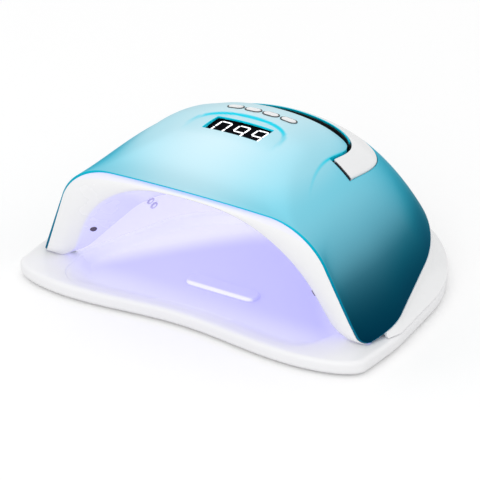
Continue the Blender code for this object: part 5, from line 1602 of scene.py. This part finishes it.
def make_display():
    """Smoked lens with the timer's digits on it."""
    place = lens_frame() @ Matrix.Translation((0.0, LENS_SHIFT, 0.0))
    reach_x = WINDOW_LONG / 2 + LENS_LEDGE
    reach_y = WINDOW_WIDE / 2 + LENS_LEDGE
    levels = ((-LENS_THICK, 0.0), (-LENS_SOFT, 0.0), (0.0, LENS_SOFT))
    rings = [[(sx * (reach_x - slim), sy * (reach_y - slim), z) for sx, sy in QUARTERS] for z, slim in levels]
    lens = lofted("smoked_lens", rings, LENS, place)
    dress(lens, "lamp", "lens_black", "display_lens")
    lit = set_out("digits_lit", segment_template(), segment_spots(place, True), DIGIT_LIT)
    dress(lit, "lamp", "digit_grey")
    unlit = set_out("digits_unlit", segment_template(), segment_spots(place, False), LENS)
    dress(unlit, "lamp", "lens_black")


def make_keys():
    """Oval timer keys with soft edges, flanges and stems, each over a black oval that stands for the shadow
    in the gap round it.
    """
    cap = (KEY_LONG - 2.0 * KEY_SIDE_GAP, KEY_WIDE - 2.0 * KEY_SIDE_GAP)
    rim = (KEY_LONG + 2.0 * KEY_FLANGE, KEY_WIDE + 2.0 * KEY_FLANGE)
    stem = (KEY_STEM_LONG, KEY_STEM_WIDE)
    rim_top = -COVER_WALL - 2.0 * GAP
    rim_low = rim_top - KEY_FLANGE_THICK
    for name, place in zip(KEY_NAMES, key_places()):
        up = place.col[2]
        stem_low = (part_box(name)[0].z - place.translation.z) / up.z + GAP
        rings = [stadium(*stem, stem_low), stadium(*stem, rim_low), stadium(*rim, rim_low),
                 stadium(*rim, rim_top), stadium(*cap, rim_top)]
        rings += pillow(*cap, KEY_PROUD, KEY_ROUND)
        rings.append(stadium(cap[0] * KEY_DISH_SHARE[0], cap[1] * KEY_DISH_SHARE[1], KEY_PROUD - KEY_DISH))
        key = lofted(f"{name}_cap", rings, WHITE, place)
        dress(key, name, "white_gloss", name)
        # Painted shadow: a black oval under the key's gap, where the gap's shadow falls.
        near = [side + 2.0 * GAP_SHADOW_ROOM for side in cap]
        far = (KEY_LONG + 2.0 * GAP_SHADOW_LAP, KEY_WIDE + 2.0 * GAP_SHADOW_LAP)
        rings = [stadium(*far, GAP_SHADOW_LOW), stadium(*far, GAP_SHADOW_TOP), stadium(*near, GAP_SHADOW_TOP),
                 stadium(*near, GAP_SHADOW_LOW)]
        dress(lofted(f"{name}_seal", rings, BLACK, place, closed=True), "lamp", "well_black")


# Handle

def hinge_point():
    """Centre of the handle's hinge axis."""
    return Vector((0.0, HINGE_Y, on_skin(ARM_INSIDE, HINGE_Y)[0].z - HINGE_DROP))


def bar_section(wide, slim):
    """Closed rounded section of the handle: distance from its outer side, depth below the skin."""
    radius = max(HANDLE_ROUND - slim, SECTION_LEAST)
    left, right = slim + radius, wide - slim - radius
    high, low = slim + radius, HANDLE_THICK - slim - radius
    section = [(left + (right - left) * at, slim) for at in np.linspace(0.0, 1.0, SECTION_TOP_POINTS)]
    corners = ((right, high, -90.0), (right, low, 0.0), (left, low, 90.0), (left, high, 180.0))
    for number, (s, d, start) in enumerate(corners):
        for turn in quarter(SECTION_CORNER_STEPS)[1:]:
            a = math.radians(start) + turn
            section.append((s + radius * math.cos(a), d + radius * math.sin(a)))
        if number == 1:
            shares = np.linspace(0.0, 1.0, SECTION_LOW_POINTS)[1:-1]
            section += [(right + (left - right) * at, HANDLE_THICK - slim) for at in shares]
    return section[:-1]


def handle_low(point, normal, share, pivot):
    """Point of the handle's underside; the rear face follows the swing about the hinge."""
    thick = HANDLE_THICK / normal.z
    behind = point.y - pivot.y
    draft = 0.0
    if behind > REAR_DRAFT_FROM:
        draft = (pivot.z - point.z) / behind * (1.0 - share)
    return Vector((point.x, point.y - draft * thick, point.z - thick))


def handle_ring(outer, inner, slim, pivot):
    """Section of the handle between two plan points."""
    outer, inner = np.asarray(outer), np.asarray(inner)
    wide = float(np.linalg.norm(inner - outer))
    ring = []
    for s, d in bar_section(wide, slim):
        share = s / wide
        point, normal = on_skin(*(outer + (inner - outer) * share))
        ring.append(point + (handle_low(point, normal, share, pivot) - point) * (d / HANDLE_THICK))
    return ring


def make_handle():
    """White strap with two arms, soft edges and hinge lugs."""
    pivot = hinge_point()
    outside = bow(ARM_OUTSIDE, ARM_FRONT_Y + ARM_TRIM, STRAP_REAR_Y, STRAP_BEND)
    inside = bow(ARM_INSIDE, ARM_FRONT_Y + ARM_TRIM, STRAP_FRONT_Y, STRAP_BEND)
    ends = [(HANDLE_ROUND * (1.0 - math.cos(a)), HANDLE_ROUND * (1.0 - math.sin(a)))
            for a in quarter(HANDLE_END_STEPS)]
    first = [handle_ring(outside[0] + (0.0, run), inside[0] + (0.0, run), slim, pivot) for run, slim in ends]
    last = [handle_ring(outside[-1] + (0.0, run), inside[-1] + (0.0, run), slim, pivot) for run, slim in ends]
    middle = [handle_ring(o, i, 0.0, pivot) for o, i in zip(outside[1:-1], inside[1:-1])]
    handle = lofted("handle_strap", first + middle + last[::-1], WHITE)
    for side in (1.0, -1.0):
        place = frame_at((side * ARM_INSIDE, pivot.y, pivot.z), (side, 0.0, 0.0))
        profile = [(0.0, GAP), (LUG_RADIUS, GAP), (LUG_RADIUS, LUG_LENGTH), (0.0, LUG_LENGTH)]
        joined(handle, turned("lug", profile, place, WHITE, sides=32), "UNION")
        bore = [(0.0, -LUG_LENGTH), (LUG_BORE_RADIUS, -LUG_LENGTH), (LUG_BORE_RADIUS, LUG_BORE),
                (0.0, LUG_BORE)]
        joined(handle, turned("lug_bore", bore, place, WHITE, sides=32), "DIFFERENCE")
    dress(handle, "handle", "white_gloss", "handle")


def skin_strip(name, plan, low, high, finish):
    """Thin strip that follows a plan line between two depths straight below the skin."""
    path = []
    for x, y in plan:
        point, normal = on_skin(x, y)
        path.append(point - Vector((0.0, 0.0, (low + high) / 2.0 / normal.z)))
    mesh = bpy.data.meshes.new("strip_path")
    mesh.from_pydata(path, [(i, i + 1) for i in range(len(path) - 1)], [])
    values = {"Strip Thickness": TRIM_THICK, "Strip Height": high - low, "Corner": TRIM_THICK / 4.0,
              "Finish": finish}
    return grown(name, mesh, EDGE_STRIP, values, finish)


def make_handle_trim():
    """Plated band along the strap's front edge, a black band below it, and black strips at the arms' front
    ends that stand for the shadow in the gaps there.
    """
    away = GAP + TRIM_THICK / 2.0
    whole = bow(ARM_INSIDE - away, ARM_FRONT_Y, STRAP_FRONT_Y - away, STRAP_BEND)
    least = math.radians(90.0 - TRIM_HALF_ANGLE)
    plan = [(x, y) for x, y in whole if math.atan2(y - ARM_FRONT_Y, abs(x)) >= least]
    band = skin_strip("strap_trim", plan, GAP, GAP + TRIM_BAND, TEAL)
    # The whole plated band takes the painted step shade.
    layer = band.data.attributes.new("painted_step_shade", "FLOAT", "POINT")
    layer.data.foreach_set("value", np.ones(len(band.data.vertices), dtype=np.float32))
    dress(band, "handle", "teal_plate", "handle_trim")
    # Black band under the plated band along the strap's front.
    dress(skin_strip("strap_grip", plan, GAP + TRIM_BAND, GAP + TRIM_TALL, BLACK), "handle", "well_black")
    # Painted shadow: black strips where the gaps at the arms' front ends are in shade.
    front = ARM_FRONT_Y + ARM_TRIM - away
    for side, label in ((1.0, "right"), (-1.0, "left")):
        across = np.linspace(ARM_INSIDE + END_SHADOW_SHORT, ARM_OUTSIDE - END_SHADOW_SHORT, END_SHADOW_POINTS)
        plan = [(side * x, front) for x in across]
        end_shadow = skin_strip(f"arm_pad_{label}", plan, GAP, TRIM_TALL, BLACK)
        dress(end_shadow, "handle", "well_black")


# Tray

def rear_line():
    """Half plan line of the lamp's rear foot."""
    whole = skin_arch(1.0, PLAN_COUNTS)[:, :2]
    return whole[:len(whole) // 2 + 1]


def cavity_line():
    """Half plan line just inside the reflector's foot."""
    whole = reflector_arch(1.0, PLAN_COUNTS)[:, :2]
    return inset(whole[:len(whole) // 2 + 1], TRAY_REAR_INSET)


def tray_outline():
    """Half plan line of the tray from the middle of the front to the middle of the rear."""
    line = []
    for share in np.linspace(0.0, 1.0, TRAY_FRONT_POINTS, endpoint=False):
        scoop = TRAY_SCOOP * math.cos(math.pi / 2 * share) ** 2
        line.append((TRAY_CORNER_X * share, TRAY_FRONT_Y + scoop))
    for a in np.linspace(0.0, math.pi / 2, TRAY_CORNER_POINTS):
        line.append((TRAY_CORNER_X + (TRAY_SIDE_X - TRAY_CORNER_X) * math.sin(a),
                     TRAY_CORNER_Y - (TRAY_CORNER_Y - TRAY_FRONT_Y) * math.cos(a)))
    for share in np.linspace(0.0, 1.0, TRAY_SIDE_POINTS + 2)[1:-1]:
        line.append((TRAY_SIDE_X + (BODY_HALF - TRAY_SIDE_X) * math.sin(math.pi / 2 * share),
                     TRAY_CORNER_Y + (POLE_Y - TRAY_CORNER_Y) * share))
    return np.concatenate((np.array(line), respaced(rear_line(), TRAY_REAR_POINTS)))


def tray_rim_line():
    """Half plan line of the rim's inner edge, point for point with the outline."""
    corner = TRAY_REST_CORNER
    centre = np.array((TRAY_ARM_REST_X - corner, TRAY_FRONT_Y + TRAY_RIM + corner))
    front = tray_outline()[:TRAY_FRONT_POINTS]
    line = [np.array((x / TRAY_CORNER_X * centre[0], y + TRAY_RIM)) for x, y in front]
    for a in np.linspace(0.0, math.pi / 2, TRAY_CORNER_POINTS):
        line.append(centre + corner * np.array((math.sin(a), -math.cos(a))))
    inner = respaced(cavity_line(), TRAY_REAR_POINTS)
    start = line[-1]
    for share in np.linspace(0.0, 1.0, TRAY_SIDE_POINTS + 2)[1:-1]:
        line.append(start + (inner[0] - start) * share)
    return np.concatenate((np.array(line), inner))


def whole_loop(half):
    """Closed loop from a half plan line."""
    half = np.array(half)
    half[0][0] = 0.0
    half[-1][0] = 0.0
    left = half[::-1][1:-1] * np.array((-1.0, 1.0))
    return np.concatenate((half, left))


def loop_inset(loop, depth):
    """Pull a closed loop inwards; depth may change from point to point."""
    ahead = unit(np.roll(loop, -1, axis=0) - np.roll(loop, 1, axis=0))
    inward = np.stack((-ahead[:, 1], ahead[:, 0]), axis=1)
    return loop + inward * np.broadcast_to(depth, len(loop)).reshape(-1, 1)


def level(loop, z):
    """Plan loop lifted to a height."""
    return [(x, y, z) for x, y in loop]


def tray_side(edge):
    """Loops up the tray's side, with its lower and upper edges rounded."""
    loops = []
    for a in quarter(TRAY_ROUND_STEPS):
        depth = TRAY_LOW_ROUND * (1.0 - math.sin(a))
        loops.append(level(loop_inset(edge, depth), TRAY_BOTTOM_Z + TRAY_LOW_ROUND * (1.0 - math.cos(a))))
    for a in quarter(TRAY_ROUND_STEPS):
        depth = TRAY_TOP_ROUND * (1.0 - math.cos(a))
        loops.append(level(loop_inset(edge, depth), TRAY_TOP_Z - TRAY_TOP_ROUND * (1.0 - math.sin(a))))
    return loops


def tray_dish(rim):
    """Loops from the rim's inner edge over a small lip and a soft slope to the floor."""
    slope_run = TRAY_SLOPE_FROM_Y - TRAY_SLOPE_FULL_Y
    front = np.clip((TRAY_SLOPE_FROM_Y - rim[:, 1]) / slope_run, 0.0, 1.0)
    wide = TRAY_SLOPE_SIDE + (TRAY_SLOPE_FRONT - TRAY_SLOPE_SIDE) * smooth(front)
    loops = [level(rim, TRAY_TOP_Z), level(loop_inset(rim, TRAY_LIP_EASE), TRAY_TOP_Z - TRAY_LIP_DROP)]
    lip_z = TRAY_TOP_Z - TRAY_LIP
    for u in np.linspace(0.0, 1.0, TRAY_DISH_LOOPS):
        depth = TRAY_LIP + (wide - TRAY_LIP) * u
        loops.append(level(loop_inset(rim, depth), lip_z + (TRAY_FLOOR_Z - lip_z) * smooth(u)))
    return loops


def recess(piece, node, radius, low, high):
    """Round recess in a piece round the middle of a node."""
    corner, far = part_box(node)
    place = Matrix.Translation(((corner.x + far.x) / 2, (corner.y + far.y) / 2, 0.0))
    profile = [(0.0, low), (radius, low), (radius, high), (0.0, high)]
    joined(piece, turned("recess", profile, place, TRAY, sides=40), "DIFFERENCE")


def make_tray():
    """Loose tray with a soft rim, dished floor and finger bar."""
    edge = whole_loop(tray_outline())
    rim = whole_loop(tray_rim_line())
    tray = lofted("tray_moulding", tray_side(edge) + tray_dish(rim), TRAY)
    pill = [stadium(BAR_LONG, BAR_WIDE, TRAY_FLOOR_Z - BAR_ROUND)]
    pill += pillow(BAR_LONG, BAR_WIDE, TRAY_FLOOR_Z + BAR_TALL, BAR_ROUND)
    joined(tray, lofted("bar", pill, TRAY, Matrix.Translation((0.0, BAR_Y, 0.0))), "UNION")
    for number in range(1, 5):
        foot, magnet = f"tray_foot_{number}", f"tray_magnet_{number}"
        recess(tray, foot, FOOT_RADIUS + GAP, -TRAY_BOTTOM_Z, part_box(foot)[1].z + GAP)
        recess(tray, magnet, MAGNET_RADIUS + GAP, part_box(magnet)[0].z - GAP, TRAY_TOP_Z + GAP)
    dress(tray, "tray", "tray_white", "tray")


# Inlet and the pieces kept as solids

def make_inlet(wall):
    """Barrel inlet in the rear of the housing."""
    low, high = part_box("dc_jack")
    point, normal, _, _ = wall.ray_cast(Vector(((low.x + high.x) / 2, HIGH, (low.z + high.z) / 2)),
                                        Vector((0.0, -1.0, 0.0)))
    if normal.y < 0.0:
        normal.negate()
    seat = 3.0 * GAP
    face = seat + JACK_FLANGE_THICK
    floor = face - JACK_BORE_DEEP
    pin = face - JACK_PIN_BACK
    pin_in, pin_down = JACK_PIN_SOFT
    soft = face - JACK_SOFT
    profile = [(0.0, pin), (JACK_PIN_RADIUS - pin_in, pin), (JACK_PIN_RADIUS, pin - pin_down),
               (JACK_PIN_RADIUS, floor), (JACK_BORE_RADIUS, floor), (JACK_BORE_RADIUS, soft),
               (JACK_BORE_RADIUS + JACK_SOFT, face), (JACK_FLANGE_RADIUS - JACK_SOFT, face),
               (JACK_FLANGE_RADIUS, soft), (JACK_FLANGE_RADIUS, seat), (JACK_RADIUS, seat),
               (JACK_RADIUS, -JACK_LONG), (0.0, -JACK_LONG)]
    inlet = turned("barrel_inlet", profile, frame_at(point, normal), BLACK)
    dress(inlet, "lamp", "well_black", "dc_jack")


def finish_solids():
    """Finishes of the pieces that stay as they are in the solid model."""
    finishes = {"base_ring": WHITE, "control_board": BOARD, "display_module": MODULE, "handle_well": BLACK}
    finishes |= {f"{kind}_magnet_{i}": STEEL for kind in ("ring", "tray") for i in range(1, 5)}
    finishes |= {f"hinge_pin_{side}": STEEL for side in ("left", "right")}
    finishes |= {f"led_strip_{place}": TAPE for place in ("left", "right", "crown")}
    finishes |= {name.replace("key", "switch"): BLACK for name in KEY_NAMES}
    finishes |= {name: SENSOR for name in ("ir_emitter", "ir_receiver")}
    for name, finish in finishes.items():
        mesh = NODES[name].data
        mesh.materials.clear()
        mesh.materials.append(finish)


# Stage

def white_for_viewer(tree, lit_strength):
    """Value that is lit_strength for light and 1 for what the viewer sees of the backdrop."""
    path = add_node(tree, "ShaderNodeLightPath").outputs
    mirrors = math_of(tree, "MAXIMUM", path["Is Glossy Ray"], path["Is Transmission Ray"])
    seen = math_of(tree, "MAXIMUM", path["Is Camera Ray"], mirrors)
    return step_mask(tree, seen, kind="LINEAR", ends=(lit_strength, 1.0))


def make_backdrop():
    """White surround that lights the lamp softly."""
    world = bpy.data.worlds.new("studio_white")
    world.use_nodes = True
    tree = world.node_tree
    tree.nodes.clear()
    sheet = add_node(tree, "ShaderNodeBackground", {"Color": PURE_WHITE,
                                                    "Strength": white_for_viewer(tree, WORLD_LIGHT)})
    add_node(tree, "ShaderNodeOutputWorld", {"Surface": sheet.outputs["Background"]})
    bpy.context.scene.world = world


def floor_paper():
    """Pale paper that reads white and still takes the lamp's shadow."""
    finish, tree, shader, _ = new_finish("floor_paper")
    path = add_node(tree, "ShaderNodeLightPath")
    glow = step_mask(tree, path.outputs["Is Camera Ray"], kind="LINEAR", ends=(0.0, FLOOR_TOP_UP))
    set_inputs(tree, shader, {"Base Color": (FLOOR_PALE, FLOOR_PALE, FLOOR_PALE), "Roughness": FLOOR_ROUGH,
                              "Specular IOR Level": 0.0, "Emission Color": PURE_WHITE,
                              "Emission Strength": glow})
    return finish


def make_floor():
    """Paper sheet under the lamp."""
    corners = [(sx * FLOOR_HALF, sy * FLOOR_HALF, 0.0) for sx, sy in QUARTERS]
    mesh = bpy.data.meshes.new("floor_sheet")
    mesh.from_pydata(corners, [], [(0, 1, 2, 3)])
    put("floor_sheet", mesh, floor_paper())


def make_studio_lamp(name, place, aim, watts, size):
    """Soft square studio lamp aimed at a point."""
    light = bpy.data.lights.new(name, "AREA")
    light.energy = watts
    light.size = size
    made = bpy.data.objects.new(name, light)
    made.location = place
    made.rotation_euler = (Vector(place) - Vector(aim)).to_track_quat("Z", "Y").to_euler()
    bpy.context.scene.collection.objects.link(made)


def make_camera():
    """Camera at the viewer's place."""
    azimuth, lift = math.radians(CAMERA_AZIMUTH), math.radians(CAMERA_LIFT)
    back = Vector((math.sin(azimuth) * math.cos(lift), -math.cos(azimuth) * math.cos(lift), math.sin(lift)))
    data = bpy.data.cameras.new("viewer")
    data.lens = CAMERA_LENS
    data.sensor_fit = "HORIZONTAL"
    data.sensor_width = SENSOR_WIDTH
    data.clip_end = VIEW_END
    made = bpy.data.objects.new("viewer", data)
    made.location = Vector(CAMERA_AIM) + back * CAMERA_DISTANCE
    made.rotation_euler = back.to_track_quat("Z", "Y").to_euler()
    bpy.context.scene.collection.objects.link(made)
    bpy.context.scene.camera = made


make_cover()
REAR_WALL = make_housing()
make_bezel()
make_reflector()
make_beads()
make_screws()
make_feet()
make_display()
make_keys()
make_handle()
make_handle_trim()
make_tray()
make_inlet(REAR_WALL)
finish_solids()
make_backdrop()
make_floor()
for studio_lamp in STUDIO_LAMPS:
    make_studio_lamp(*studio_lamp)
make_camera()
bpy.context.scene.view_settings.view_transform = "Standard"
